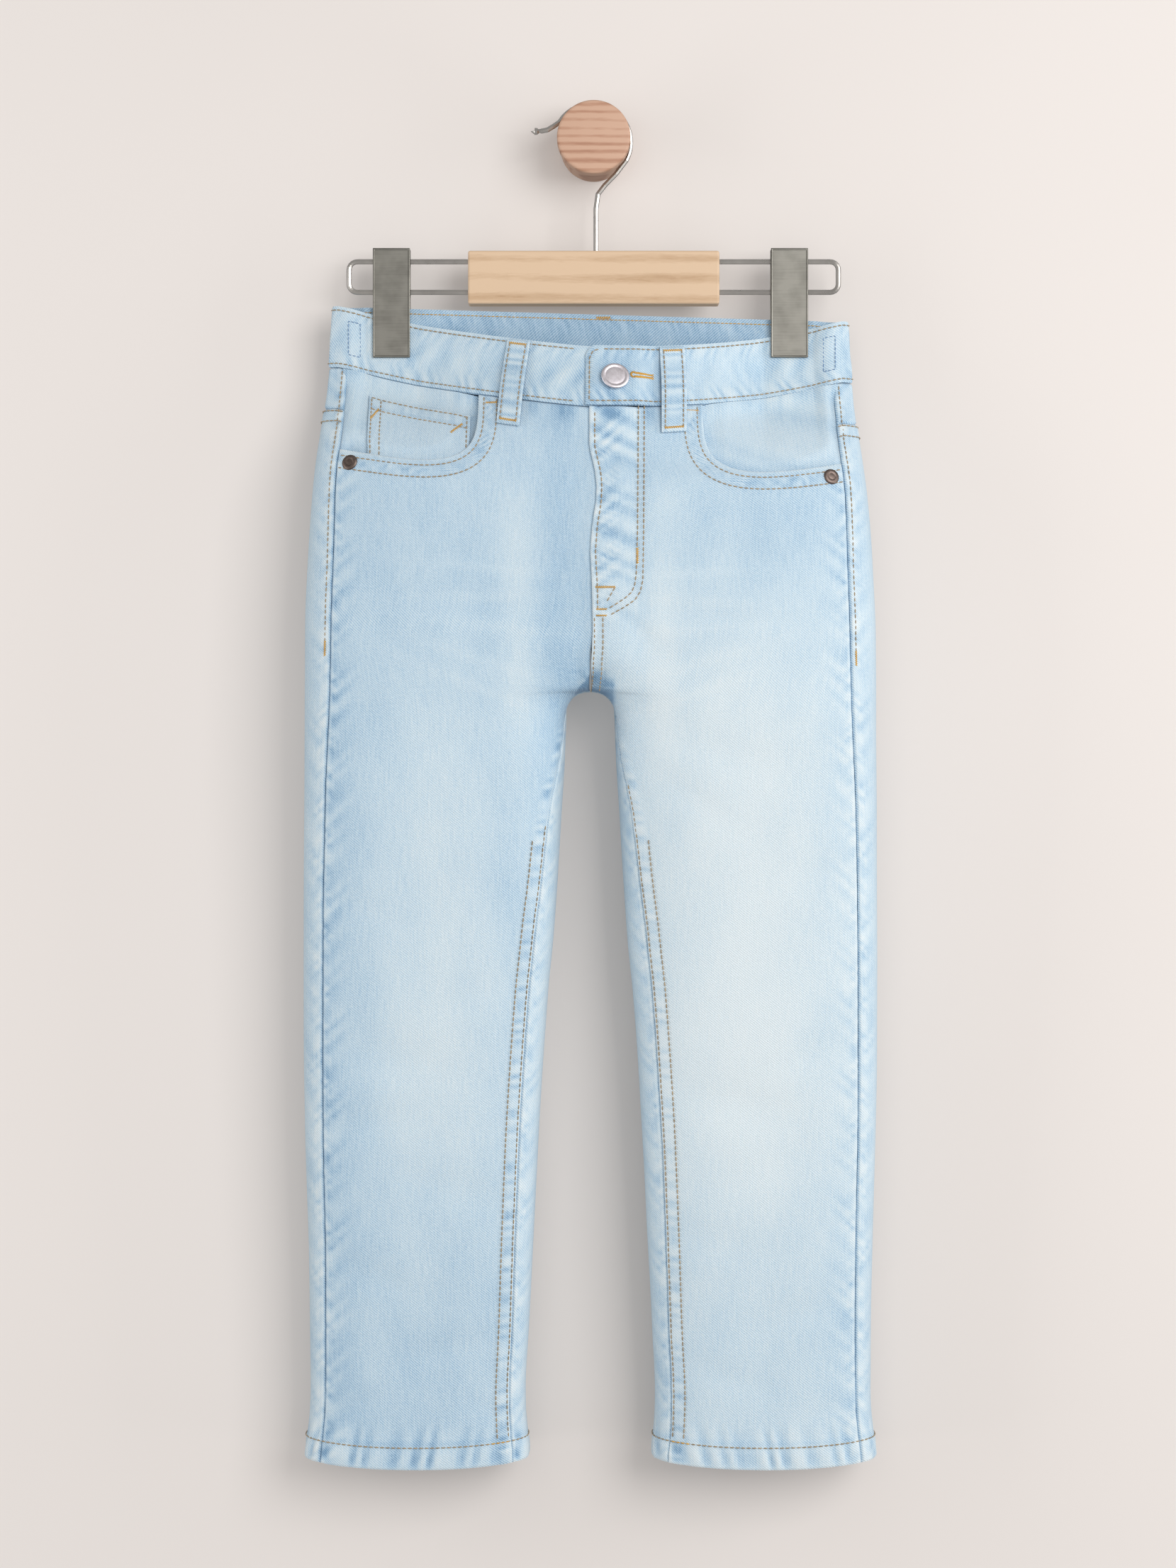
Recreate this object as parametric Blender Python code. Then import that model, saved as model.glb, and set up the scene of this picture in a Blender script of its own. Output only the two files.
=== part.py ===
"""Child's five-pocket jeans, filled out, hanging from a clip hanger on a round wall peg.

The cloth is one ruled surface, worked out from the tables of sections below. Each sewn piece is a
wall cut from that surface. Sizes are in millimetres and turned into metres as a mesh is made.
The origin is the centre of the peg's back face, on the wall. +X is the viewer's right, -Y comes out
of the wall and +Z is up.
"""

import math
from collections import namedtuple

import bmesh
import bpy
import numpy as np
from mathutils import Matrix, Vector

MM = 0.001

# Cloth
CLOTH = 1.5
SEAM = 0.4
LAP_GAP = 0.3
CENTRE_X = -2.0

# Waist
WAIST_Z = -106.5
BAND_TALL = 37.5
BAND_Z = WAIST_Z - BAND_TALL
BAND_PROUD = 0.6
BAND_INNER = 2.0
FRONT_SAG = 24.0
SAG_HALF_WIDTH = 154.0
SAG_POWER_LEFT = 1.4
SAG_POWER_RIGHT = 1.8
SKEW = -0.03
SKEW_ENDS_Z = -560.0
SAG_ENDS_Z = -320.0

# Where the clips pinch the waist. The ear is the open fold of cloth outside each clip
CLIP_AT = 121.6
CLIP_WIDE = 22.7
PINCH_DEPTH = 2.15
PINCH_FROM_Z = -136.0
PINCH_TO_Z = -215.0
BOW_HALF_WIDTH = 106.0
BOW_POWER = 1.1
EAR_FROM = 137.0
EAR_TO = 158.0
EAR_DEPTH = 5.0

# Crotch and hem
CROTCH_Z = -338.0
ARCH_TALL = 12.0
ARCH_HALF_WIDTH = 14.3
CROTCH_SPREAD = 1.7
TUCK = 3.5
TUCK_TO_Z = -520.0
HEM_Z = -803.0
HEM_TALL = 15.0
HEM_PROUD = 0.8
HEM_INNER = 2.3
HEM_DIP = 4.5
HEM_DIP_FROM_Z = -700.0

# Height at which the row from the pocket opening's lower end meets the fly
FAN_INNER_Z = -208.0

# Front pocket opening, a superellipse quarter below the band
POCKET_START_X = 68.0
POCKET_DEEP = 52.0
POCKET_POWER = 3.9
FACING_SINK = 2.3
FACING_WALL = 1.2
FACING_BELOW = 16.0
FACING_TAIL_SINK = 2.2
COIN_WALL = 1.1
COIN_FACING_SINK = 3.9
COIN_GAP = 0.7
COIN_INNER_X = 73.0
COIN_OUTER_X = 134.5
COIN_TOP_INNER_Z = -157.5
COIN_TOP_OUTER_Z = -156.5
COIN_BOTTOM_Z = -199.0

# Back patch pockets
PATCH_INNER_X = 30.0
PATCH_OUTER_X = 122.0
PATCH_TOP_Z = -222.0
PATCH_SIDE_TALL = 78.0
PATCH_POINT_TALL = 92.0
PATCH_NARROWS = 4.0
PATCH_TILT = 7.0
PATCH_GAP = 0.5
PATCH_WALL = 1.2

# Belt loops
LOOP_WIDE = 13.0
LOOP_TOP_Z = WAIST_Z - 1.0
LOOP_BELOW_BAND = 18.0
LOOP_BOW = 1.6
LOOP_WALL = 1.6

# Fly
FLY_LAP = 6.0
FLY_RAISE = CLOTH + LAP_GAP
FLY_RAISE_FROM = 15.0
FLY_RAISE_TO = 34.0
FLY_END_Z = -318.0
BAND_END = -3.0
BAND_UNDER = 22.0
BAND_LIFT = BAND_PROUD + BAND_INNER + LAP_GAP
BAND_LIFT_TO = 40.5

# Zip
ZIP_HALF_WIDE = 7.0
ZIP_LONG = 90.0
ZIP_BEHIND = 0.5
ZIP_THICK = 1.4

# Yoke seam
YOKE_SIDE_Z = -170.0
YOKE_CENTRE_Z = -205.0

# Hardware of the jeans
BUTTON_ACROSS = 17.0
BUTTON_X = 14.2
BUTTON_Z = -127.6
RIVET_ACROSS = 9.7
RIVET_X = 144.5
RIVET_Z = -203.5
RIVET_LIFT = -0.35

# Hanger
HANGER_Y = -27.0
BAR_HALF_LONG = 76.7
BAR_TOP_Z = -68.4
BAR_BOTTOM_Z = -100.9
BAR_THICK = 13.0
BAR_BEVEL = 1.2
END_WIRE = 3.2
END_X = 149.7
END_TOP_Z = -74.3
END_BOTTOM_Z = -93.0
END_BEND = 5.0
HOOK_WIRE = 3.1
HOOK_RADIUS = 23.5
HOOK_CENTRE_X = -0.9
HOOK_CENTRE_Z = -1.2
HOOK_FOOT_X = 1.4
HOOK_FOOT_TOP_Z = -41.8
HOOK_BALL = 4.4
HOOK_BALL_X = -35.4
HOOK_BALL_Z = 5.5
CLIP_TOP_Z = -66.5
CLIP_BOTTOM_Z = -133.4
CLIP_PLATE = 1.4
CLIP_SLACK = 0.05
CLIP_BEVEL = 0.45
PIVOT_Z = -97.65

# Peg
PEG_DISC_RADIUS = 22.4
PEG_NECK_RADIUS = 20.4
PEG_FACE_Y = -40.0
PEG_DISC_THICK = 10.0

FRONT, BACK = 1, -1
RIGHT, LEFT = 1, -1

# Sections of the jeans, top to hem. half_width is from the centre to the outer edge, mid is the depth
# of that edge, front and back are the depths of the cloth before and behind it at the centre,
# roundness is the superellipse power, and side_seam is how far the seam lies in from the edge.
Section = namedtuple("Section", "z half_width mid front back roundness side_seam")
SECTIONS = [
    Section(-100, 157.0, -27.0, 29.0, 2.15, 5.0, 11.0),
    Section(-136, 159.4, -27.0, 33.0, 2.15, 5.0, 11.5),
    Section(-160, 161.1, -29.0, 40.0, 10.0, 4.2, 12.0),
    Section(-185, 164.6, -32.5, 43.5, 19.0, 3.6, 14.0),
    Section(-210, 167.8, -35.5, 44.0, 25.5, 3.2, 14.5),
    Section(-235, 169.9, -38.0, 42.5, 30.5, 3.0, 15.5),
    Section(-262, 171.5, -39.5, 40.5, 33.5, 2.9, 16.5),
    Section(-300, 173.2, -40.0, 38.5, 35.2, 2.9, 17.0),
    Section(-340, 173.4, -40.0, 37.0, 35.5, 2.9, 16.5),
    Section(-400, 173.7, -39.0, 35.0, 34.5, 2.9, 14.0),
    Section(-460, 174.2, -37.5, 33.0, 33.0, 2.9, 13.0),
    Section(-530, 174.4, -36.0, 31.5, 31.5, 2.9, 12.6),
    Section(-600, 173.8, -34.5, 30.0, 29.5, 3.0, 12.0),
    Section(-680, 171.6, -33.0, 28.5, 27.5, 3.0, 11.0),
    Section(-760, 170.7, -31.8, 26.5, 26.0, 3.1, 10.0),
    Section(HEM_Z, 173.5, -31.3, 26.5, 26.0, 3.1, 9.7),
]

# Inner side of a leg. gap is from the centre to the leg's inner edge, and inseam is how far the seam
# lies outward of it on the front.
Inner = namedtuple("Inner", "z gap inseam")
INNER = [
    Inner(-350, 14.5, 0.0),
    Inner(-366, 15.0, 0.6),
    Inner(-384, 15.8, 2.2),
    Inner(-410, 17.5, 5.5),
    Inner(-451, 19.9, 8.5),
    Inner(-486, 22.4, 11.0),
    Inner(-520, 25.7, 11.6),
    Inner(-589, 30.5, 11.6),
    Inner(-658, 34.2, 11.0),
    Inner(-727, 37.6, 10.0),
    Inner(-764, 39.4, 9.8),
    Inner(HEM_Z, 38.1, 9.5),
]

# The largest folds, as soft troughs across the cloth. x and z are the middle, turn is the angle of the
# fold's line above the horizontal, and depth is how far the cloth sinks there.
Fold = namedtuple("Fold", "side face x z turn half_long half_wide depth")
FOLDS = [
    Fold(LEFT, FRONT, 46, -318, -32, 42, 11, 1.6),
    Fold(RIGHT, FRONT, 50, -322, -30, 46, 11, 1.5),
    Fold(LEFT, FRONT, 62, -362, -14, 50, 13, 1.3),
    Fold(RIGHT, FRONT, 66, -368, -16, 48, 13, 1.4),
    Fold(LEFT, FRONT, 118, -560, 10, 40, 16, 1.5),
    Fold(RIGHT, FRONT, 82, -585, -12, 42, 16, 1.5),
    Fold(LEFT, BACK, 62, -352, 24, 60, 14, 2.2),
    Fold(RIGHT, BACK, 58, -356, 22, 60, 14, 2.2),
    Fold(LEFT, BACK, 98, -556, 8, 60, 17, 2.6),
    Fold(RIGHT, BACK, 102, -548, -6, 60, 17, 2.6),
    Fold(LEFT, BACK, 92, -604, -8, 52, 15, 2.0),
    Fold(RIGHT, BACK, 96, -598, 9, 52, 15, 2.0),
]

# Rows of the panels where the legs part: height at the inner edge and at the outer edge.
Row = namedtuple("Row", "inner outer")
CROTCH_ROWS = [
    Row(-284, -276),
    Row(-301, -291),
    Row(-315, -304),
    Row(-325.5, -316),
    Row(-332.5, -326),
    Row(-336.6, -335),
    Row(CROTCH_Z, -343),
    Row(-339.0, -350),
    Row(-341.5, -357),
    Row(-346.0, -364),
    Row(-353.0, -371),
    Row(-364.0, -379),
    Row(-379.0, -391),
]
LEG_ROWS = [-408, -432, -458, -486, -514, -540, -564, -588, -612, -640, -668, -696, -724, -750, -772]
HEM_ROWS = [HEM_Z + HEM_TALL, HEM_Z + HEM_TALL - 2.0, HEM_Z]


def column(table, name):
    return np.array([getattr(row, name) for row in table], float)


def slopes_of(z, v):
    """Slopes that keep a cubic through (z, v) from overshooting."""
    step = np.diff(z)
    rise = np.diff(v) / step
    slopes = np.zeros(len(z))
    slopes[0], slopes[-1] = rise[0], rise[-1]
    for i in range(1, len(z) - 1):
        if rise[i - 1] * rise[i] > 0:
            slopes[i] = 2 * rise[i - 1] * rise[i] / (rise[i - 1] + rise[i])
    return slopes


def curve_through(table, name):
    """A smooth function of z through one column of a table that runs downwards."""
    z = column(table, "z")[::-1]
    v = column(table, name)[::-1]
    m = slopes_of(z, v)

    def at(wanted):
        q = np.clip(wanted, z[0], z[-1])
        i = np.clip(np.searchsorted(z, q) - 1, 0, len(z) - 2)
        h = z[i + 1] - z[i]
        t = (q - z[i]) / h
        return (
            v[i] * (1 + 2 * t) * (1 - t) ** 2
            + v[i + 1] * t**2 * (3 - 2 * t)
            + h * m[i] * t * (1 - t) ** 2
            + h * m[i + 1] * t**2 * (t - 1)
        )

    return at


half_width = curve_through(SECTIONS, "half_width")
mid_depth = curve_through(SECTIONS, "mid")
front_depth = curve_through(SECTIONS, "front")
back_depth = curve_through(SECTIONS, "back")
roundness = curve_through(SECTIONS, "roundness")
side_inset = curve_through(SECTIONS, "side_seam")
leg_gap = curve_through(INNER, "gap")
inseam_inset = curve_through(INNER, "inseam")


def ease(v, start, end):
    """0 at start, 1 at end, smooth between."""
    t = np.clip((v - start) / (end - start), 0, 1)
    return t * t * (3 - 2 * t)


def inner_edge(z):
    """Where a half's tube ends on its inner side: above the crotch past the centre, where the tube is cut."""
    above = -CROTCH_SPREAD * (z - CROTCH_Z)
    risen = np.clip((z - CROTCH_Z + ARCH_TALL) / ARCH_TALL, 0, 1)
    arch = SEAM / 2 + ARCH_HALF_WIDTH * np.sqrt(1 - risen**2)
    below = np.where(z < CROTCH_Z - ARCH_TALL, leg_gap(z), arch)
    return np.maximum(np.where(z > CROTCH_Z, above, below), -half_width(z))


def side_seam_x(z):
    return half_width(z) - side_inset(z)


def inseam_x(z):
    return inner_edge(z) + np.where(z < CROTCH_Z - ARCH_TALL, inseam_inset(z), 0)


def fold_depth(side, face, x, z):
    total = np.zeros(np.broadcast(x, z).shape)
    for fold in FOLDS:
        if (fold.side, fold.face) != (side, face):
            continue
        turn = math.radians(fold.turn)
        along = (x - fold.x) * math.cos(turn) + (z - fold.z) * math.sin(turn)
        across = (z - fold.z) * math.cos(turn) - (x - fold.x) * math.sin(turn)
        total += fold.depth * np.exp(-((along / fold.half_long) ** 2) - (across / fold.half_wide) ** 2)
    return total


def at(side, across, z, face):
    """Points of the outer surface, at height z before the front sags at the waist and dips at the hem.

    across runs from -1 at a half's inner edge to 1 at its outer edge.
    """
    inner, outer = inner_edge(z), half_width(z)
    x = (outer + inner) / 2 + (outer - inner) / 2 * across
    power = roundness(z)
    swell = np.clip(1 - np.abs(across) ** power, 0, 1) ** (1 / power)
    sag_power = SAG_POWER_LEFT if side == LEFT else SAG_POWER_RIGHT
    sag = -FRONT_SAG * (1 - np.clip(np.abs(x) / SAG_HALF_WIDTH, 0, 1) ** sag_power)
    dip = -HEM_DIP * (1 - across**2) * ease(z, HEM_DIP_FROM_Z, HEM_Z)
    low = z + (sag * ease(z, SAG_ENDS_Z, BAND_Z) + dip) * (face == FRONT)
    pinched = ease(low, PINCH_TO_Z, PINCH_FROM_Z)
    bow = np.cos(np.clip(np.abs(x) / BOW_HALF_WIDTH, 0, 1) * math.pi / 2) ** BOW_POWER
    ear = EAR_DEPTH * np.sin(np.clip((np.abs(x) - EAR_FROM) / (EAR_TO - EAR_FROM), 0, 1) * math.pi)
    front = front_depth(low) * (1 - pinched + pinched * bow) + pinched * (PINCH_DEPTH + ear)
    back = back_depth(low) + pinched * ear
    depth = np.where(face == FRONT, front, back)
    tucked = TUCK * ease(z, TUCK_TO_Z, CROTCH_Z - 60) * (1 - ease(z, CROTCH_Z - 20, CROTCH_Z))
    x = x + np.where(face == FRONT, tucked * swell * np.clip(-across, 0, 1) ** 2, 0)
    front_fold, back_fold = (fold_depth(side, way, x, low) for way in (FRONT, BACK))
    folded = np.where(face == FRONT, front_fold, back_fold)
    y = mid_depth(low) - face * swell * (depth - folded)
    tilt = SKEW * side * x * ease(z, SKEW_ENDS_Z, BAND_Z)
    return np.stack([CENTRE_X + side * x, y, low + tilt], axis=-1)


def across_of(x, z):
    inner, outer = inner_edge(z), half_width(z)
    return np.clip((2 * x - outer - inner) / (outer - inner), -1, 1)


def unit(v):
    return v / np.linalg.norm(v, axis=-1, keepdims=True)


def surface(side, across, z, face):
    """(points, outward normals) along one row, from the inner edge outwards and round to the back."""
    points = at(side, across, z, face)
    along = np.gradient(points, axis=0)
    upward = at(side, across, z + 0.5, face) - at(side, across, z - 0.5, face)
    return points, side * unit(np.cross(along, upward))


def places(points, normals, count, turn_weight, trim):
    """(wanted, run): count places along a row, closer together where it turns, and the place of each point.

    trim is left off each end, for the seam.
    """
    length = np.linalg.norm(np.diff(points, axis=0), axis=1)
    bend = np.arccos(np.clip((normals[1:] * normals[:-1]).sum(axis=1), -1, 1))
    far = np.concatenate([[0], np.cumsum(length)])
    run = np.concatenate([[0], np.cumsum(length + turn_weight * bend)])
    return np.linspace(np.interp(trim, far, run), np.interp(far[-1] - trim, far, run), count), run


def thinned(points, normals, count, turn_weight=18.0, trim=SEAM / 2):
    """count points of a row, with more of them where it turns."""
    wanted, run = places(points, normals, count, turn_weight, trim)
    pick = [np.interp(wanted, run, points[:, i]) for i in range(3)]
    lean = [np.interp(wanted, run, normals[:, i]) for i in range(3)]
    return np.stack(pick, axis=1), unit(np.stack(lean, axis=1))


SAMPLES = 260


def spaced(start, end, near_start=1.0, near_end=1.0):
    """SAMPLES values from start to end, closer together at an end whose power is over 1."""
    t = np.linspace(0, 1, SAMPLES)
    if near_end > 1:
        t = np.where(t < 0.5, 0.5 * (2 * t) ** near_start, 1 - 0.5 * (2 - 2 * t) ** near_end)
    else:
        t = t**near_start
    return start + (end - start) * t


def front_row(side, inner_x, inner_z, outer_x, outer_z, fan=1.0):
    """A row of a front panel. fan over 1 keeps the change of height near the inner edge."""
    start, end = across_of(inner_x, inner_z), across_of(outer_x, outer_z)
    across = spaced(start, end, 3.0)
    z = outer_z + (inner_z - outer_z) * ((end - across) / (end - start)) ** fan
    return surface(side, across, z, np.full(SAMPLES, FRONT))


def back_row(side, inner_z, outer_z, fan=1.0):
    """A row of a back panel or yoke, from the side seam on the front round to the centre back or the inseam."""
    wrap = spaced(across_of(side_seam_x(outer_z), outer_z), 1.0, 1.0, 3.0)
    end = -1.0 if inner_z <= CROTCH_Z else across_of(0.0, inner_z)
    across = spaced(1.0, end, 3.0, 3.0)
    z = outer_z + (inner_z - outer_z) * ((1 - across) / (1 - end)) ** fan
    parts = [
        (wrap, np.full(SAMPLES, outer_z), np.full(SAMPLES, FRONT)),
        (across[1:], z[1:], np.full(SAMPLES - 1, BACK)),
    ]
    inseam = across_of(inseam_x(inner_z), inner_z)
    if inner_z < CROTCH_Z - ARCH_TALL and inseam > -1:
        tail = spaced(-1.0, inseam, 3.0)[1:]
        parts.append((tail, np.full(len(tail), inner_z), np.full(len(tail), FRONT)))
    across, heights, faces = (np.concatenate([part[i] for part in parts]) for i in range(3))
    return surface(side, across, heights, faces)


def new_object(name, mesh, material, smooth=True):
    obj = bpy.data.objects.new(name, mesh)
    bpy.context.scene.collection.objects.link(obj)
    mesh.materials.append(material)
    if smooth:
        mesh.shade_smooth()
        mesh.set_sharp_from_angle(angle=math.radians(40))
    return obj


def wall(name, points, normals, outer, inner, material):
    """A closed wall from a grid of surface points.

    outer is how far its face stands off the surface, and inner how far its back lies below.
    """
    outer = np.broadcast_to(outer, points.shape[:2])[..., None]
    inner = np.broadcast_to(inner, points.shape[:2])[..., None]
    face, back = points + normals * outer, points - normals * inner
    rows, cols = points.shape[:2]
    verts = np.concatenate([face.reshape(-1, 3), back.reshape(-1, 3)]) * MM
    behind = rows * cols
    quads = []
    for r in range(rows - 1):
        for c in range(cols - 1):
            a, b = r * cols + c, r * cols + c + 1
            d, e = a + cols, b + cols
            quads.append((a, b, e, d))
            quads.append((behind + a, behind + d, behind + e, behind + b))
    ring = [(0, c) for c in range(cols)] + [(r, cols - 1) for r in range(1, rows)]
    ring += [(rows - 1, c) for c in range(cols - 2, -1, -1)] + [(r, 0) for r in range(rows - 2, 0, -1)]
    ids = [r * cols + c for r, c in ring]
    for a, b in zip(ids, ids[1:] + ids[:1]):
        quads.append((b, a, behind + a, behind + b))
    mesh = bpy.data.meshes.new(name)
    mesh.from_pydata([tuple(v) for v in verts], [], quads)
    work = bmesh.new()
    work.from_mesh(mesh)
    if work.calc_volume(signed=True) < 0:
        bmesh.ops.reverse_faces(work, faces=work.faces[:])
    work.to_mesh(mesh)
    work.free()
    return new_object(name, mesh, material)


def grid_of(rows, cols):
    """Stacks rows, each (points, normals), into a grid."""
    thin = [thinned(points, normals, cols) for points, normals in rows]
    return np.stack([row[0] for row in thin]), np.stack([row[1] for row in thin])


def patch(side, x, z, face):
    """(points, outward normals) of a grid of places given by x from the centre and height."""
    across = across_of(x, z)
    faces = np.full(x.shape, face)
    step = 0.002
    points = at(side, across, z, faces)
    along = at(side, across + step, z, faces) - at(side, across - step, z, faces)
    upward = at(side, across, z + 0.5, faces) - at(side, across, z - 0.5, faces)
    return points, side * face * unit(np.cross(along, upward))


def pocket_edge(count):
    """Points (x, z) of the pocket opening, from the band to the side seam."""
    end_z = BAND_Z - POCKET_DEEP
    end_x = side_seam_x(end_z)
    turn = np.linspace(0, math.pi / 2, SAMPLES)
    x = end_x - (end_x - POCKET_START_X) * np.cos(turn) ** (2 / POCKET_POWER)
    z = BAND_Z - POCKET_DEEP * np.sin(turn) ** (2 / POCKET_POWER)
    run = np.concatenate([[0], np.cumsum(np.hypot(np.diff(x), np.diff(z)))])
    wanted = np.linspace(0, run[-1], count)
    return list(zip(np.interp(wanted, run, x), np.interp(wanted, run, z)))


def fly_lap(z):
    """1 where the fly laps, 0 below it."""
    return ease(z, FLY_END_Z, FLY_END_Z + 28)


def hem_walls(rows, cols, outer, inner):
    """Face and back offsets for a panel whose last rows are the hem."""
    face, back = np.full((rows, cols), outer), np.full((rows, cols), inner)
    face[-2:], back[-2:] = HEM_PROUD, HEM_INNER
    return face, back


POCKET_ROWS = 8
FRONT_COLS = 12
BACK_COLS = 17
WAIST_COLS = 78
WAIST_TURN_WEIGHT = 14.0


def front_panel(name, side, material):
    half = SEAM / 2
    rows, starts = [], []

    def start_x(z):
        return 0.0 if side == RIGHT else -FLY_LAP * float(fly_lap(z))

    for k, (x, z) in enumerate(pocket_edge(POCKET_ROWS)):
        inner_z = BAND_Z - half + (FAN_INNER_Z - BAND_Z) * k / (POCKET_ROWS - 1)
        outer_z = z - half if k == 0 else z
        rows.append((start_x(inner_z), inner_z, x, outer_z, 1.0))
    for share in (1, 2, 3):
        inner_z = FAN_INNER_Z + (CROTCH_ROWS[0].inner - FAN_INNER_Z) * share / 4
        outer_z = BAND_Z - POCKET_DEEP + (CROTCH_ROWS[0].outer - BAND_Z + POCKET_DEEP) * share / 4
        rows.append((start_x(inner_z), inner_z, side_seam_x(outer_z), outer_z, 1.0))
    for row in CROTCH_ROWS:
        inner_x = start_x(row.inner) if row.inner > CROTCH_Z else inseam_x(row.inner)
        rows.append((inner_x, row.inner, side_seam_x(row.outer), row.outer, 2.0))
    for z in LEG_ROWS + HEM_ROWS:
        rows.append((inseam_x(z), z, side_seam_x(z), z, 1.0))
    points, normals = grid_of([front_row(side, *row) for row in rows], FRONT_COLS)
    outer, inner = hem_walls(*points.shape[:2], 0.0, CLOTH)
    if side == RIGHT:
        x = np.abs(points[..., 0] - CENTRE_X)
        heights = np.array([row[1] for row in rows])[:, None]
        above_end = ease(heights, FLY_END_Z - 14, FLY_END_Z)
        raised = FLY_RAISE * (1 - ease(x, FLY_RAISE_FROM, FLY_RAISE_TO)) * above_end
        outer, inner = outer + raised, inner - raised
    return wall(name, points, normals, outer, inner, material)


def back_panel(name, side, material):
    half = SEAM / 2
    rows = []
    count = 6
    for k in range(count):
        share = k / count
        inner_z = YOKE_CENTRE_Z - half + (CROTCH_ROWS[0].inner - YOKE_CENTRE_Z) * share
        outer_z = YOKE_SIDE_Z - half + (CROTCH_ROWS[0].outer - YOKE_SIDE_Z) * share
        rows.append(back_row(side, inner_z, outer_z))
    rows += [back_row(side, row.inner, row.outer, 2.0) for row in CROTCH_ROWS]
    rows += [back_row(side, z, z) for z in LEG_ROWS + HEM_ROWS]
    points, normals = grid_of(rows, BACK_COLS)
    outer, inner = hem_walls(*points.shape[:2], 0.0, CLOTH)
    return wall(name, points, normals, outer, inner, material)


def yoke(name, side, material):
    half, count = SEAM / 2, 5
    rows = []
    for k in range(count):
        share = k / (count - 1)
        top, side_end, centre_end = BAND_Z - half, YOKE_SIDE_Z + half, YOKE_CENTRE_Z + half
        rows.append(back_row(side, top + (centre_end - top) * share, top + (side_end - top) * share))
    points, normals = grid_of(rows, BACK_COLS)
    return wall(name, points, normals, 0.0, CLOTH, material)


def facing_sink(x, z, sink):
    """How far the facing lies below the surface: nothing at the side seam, sink by the opening's edge.

    It lies deeper where the panel hides it.
    """
    edge_x = side_seam_x(BAND_Z - POCKET_DEEP)
    away = np.clip((edge_x - x) / (edge_x - POCKET_START_X), 0, 2) ** POCKET_POWER
    away = away + np.clip((BAND_Z - z) / POCKET_DEEP, 0, 2) ** POCKET_POWER
    sunk = sink * np.maximum(ease(away, 0.12, 0.75), ease(edge_x - x, 0.0, 28.0) * 0.75)
    return sunk + FACING_TAIL_SINK * ease(away, 1.0, 1.7)


def facing(name, side, sink, material):
    """The cloth seen inside the pocket opening. It joins the side seam and runs on behind the front panel."""
    half = SEAM / 2
    z = np.linspace(BAND_Z - half, BAND_Z - POCKET_DEEP - FACING_BELOW, 10)[:, None]
    share = np.linspace(0, 1, 9)[None, :]
    inner_x = POCKET_START_X - 14 + 0 * z
    outer_x = side_seam_x(z) - half
    x = inner_x + (outer_x - inner_x) * share
    sunk = facing_sink(x, z + 0 * x, sink)
    points, normals = patch(side, x, z + 0 * x, FRONT)
    return wall(name, points, normals, -sunk, sunk + FACING_WALL, material)


def coin_pocket(material):
    """A small patch between the left facing and the front panel, its lower end hidden behind the panel."""
    share = np.linspace(0, 1, 9)[None, :]
    down = np.linspace(0, 1, 7)[:, None]
    x = COIN_INNER_X + (COIN_OUTER_X - COIN_INNER_X) * share + 0 * down
    top = COIN_TOP_INNER_Z + (COIN_TOP_OUTER_Z - COIN_TOP_INNER_Z) * share
    z = top + (COIN_BOTTOM_Z - top) * down
    points, normals = patch(LEFT, x, z, FRONT)
    clear = COIN_GAP - facing_sink(x, z, COIN_FACING_SINK)
    return wall("coin_pocket", points, normals, clear + COIN_WALL, -clear, material)


def band_part(side, x, height, face):
    """(points, upward directions) along one part of the waistband."""
    z = np.full(len(x), height)
    across = across_of(x, z)
    upward = at(side, across, z + 0.5, face) - at(side, across, z - 0.5, face)
    return at(side, across, z, face), upward


def waistband(material):
    """One strip from its right front end, round the back, to its left front end under the right one."""
    heights = np.linspace(WAIST_Z, BAND_Z + SEAM / 2, 4)
    rows, lifts = [], []
    for z in heights:
        right_front = spaced(BAND_END, half_width(z), 1.0, 3.0)
        back_half = spaced(half_width(z), 0.0, 3.0)
        left_front = spaced(half_width(z), -BAND_UNDER, 3.0)
        parts = [
            (RIGHT, right_front, FRONT),
            (RIGHT, back_half[1:], BACK),
            (LEFT, back_half[-2:0:-1], BACK),
            (LEFT, left_front, FRONT),
        ]
        made = [band_part(side, x, z, face) for side, x, face in parts]
        points, upward = (np.concatenate([part[i] for part in made]) for i in range(2))
        normals = unit(np.cross(np.gradient(points, axis=0), upward))
        lift = np.zeros(len(points))
        lift[: len(right_front)] = BAND_LIFT * (1 - ease(right_front, BAND_UNDER + 2, BAND_LIFT_TO))
        wanted, run = places(points, normals, WAIST_COLS, WAIST_TURN_WEIGHT, 0.0)
        rows.append(thinned(points, normals, WAIST_COLS, WAIST_TURN_WEIGHT, 0.0))
        lifts.append(np.interp(wanted, run, lift))
    points, normals = np.stack([row[0] for row in rows]), np.stack([row[1] for row in rows])
    lift = np.stack(lifts)
    return wall("waistband", points, normals, BAND_PROUD + lift, BAND_INNER - lift, material)


def belt_loop(name, side, face, x, lean, material, wide=LOOP_WIDE):
    """A strip from the waist edge to below the band seam, bowed away from the band."""
    share = np.linspace(0, 1, 9)[:, None]
    z = LOOP_TOP_Z + (BAND_Z - LOOP_BELOW_BAND - LOOP_TOP_Z) * share
    across = np.linspace(-wide / 2, wide / 2, 3)[None, :]
    points, normals = patch(side, x + lean * (share - 0.5) + across, z + 0 * across, face)
    clear = BAND_PROUD + LAP_GAP + LOOP_BOW * np.sin(math.pi * share) + 0 * across
    return wall(name, points, normals, clear + LOOP_WALL, -clear, material)


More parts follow.
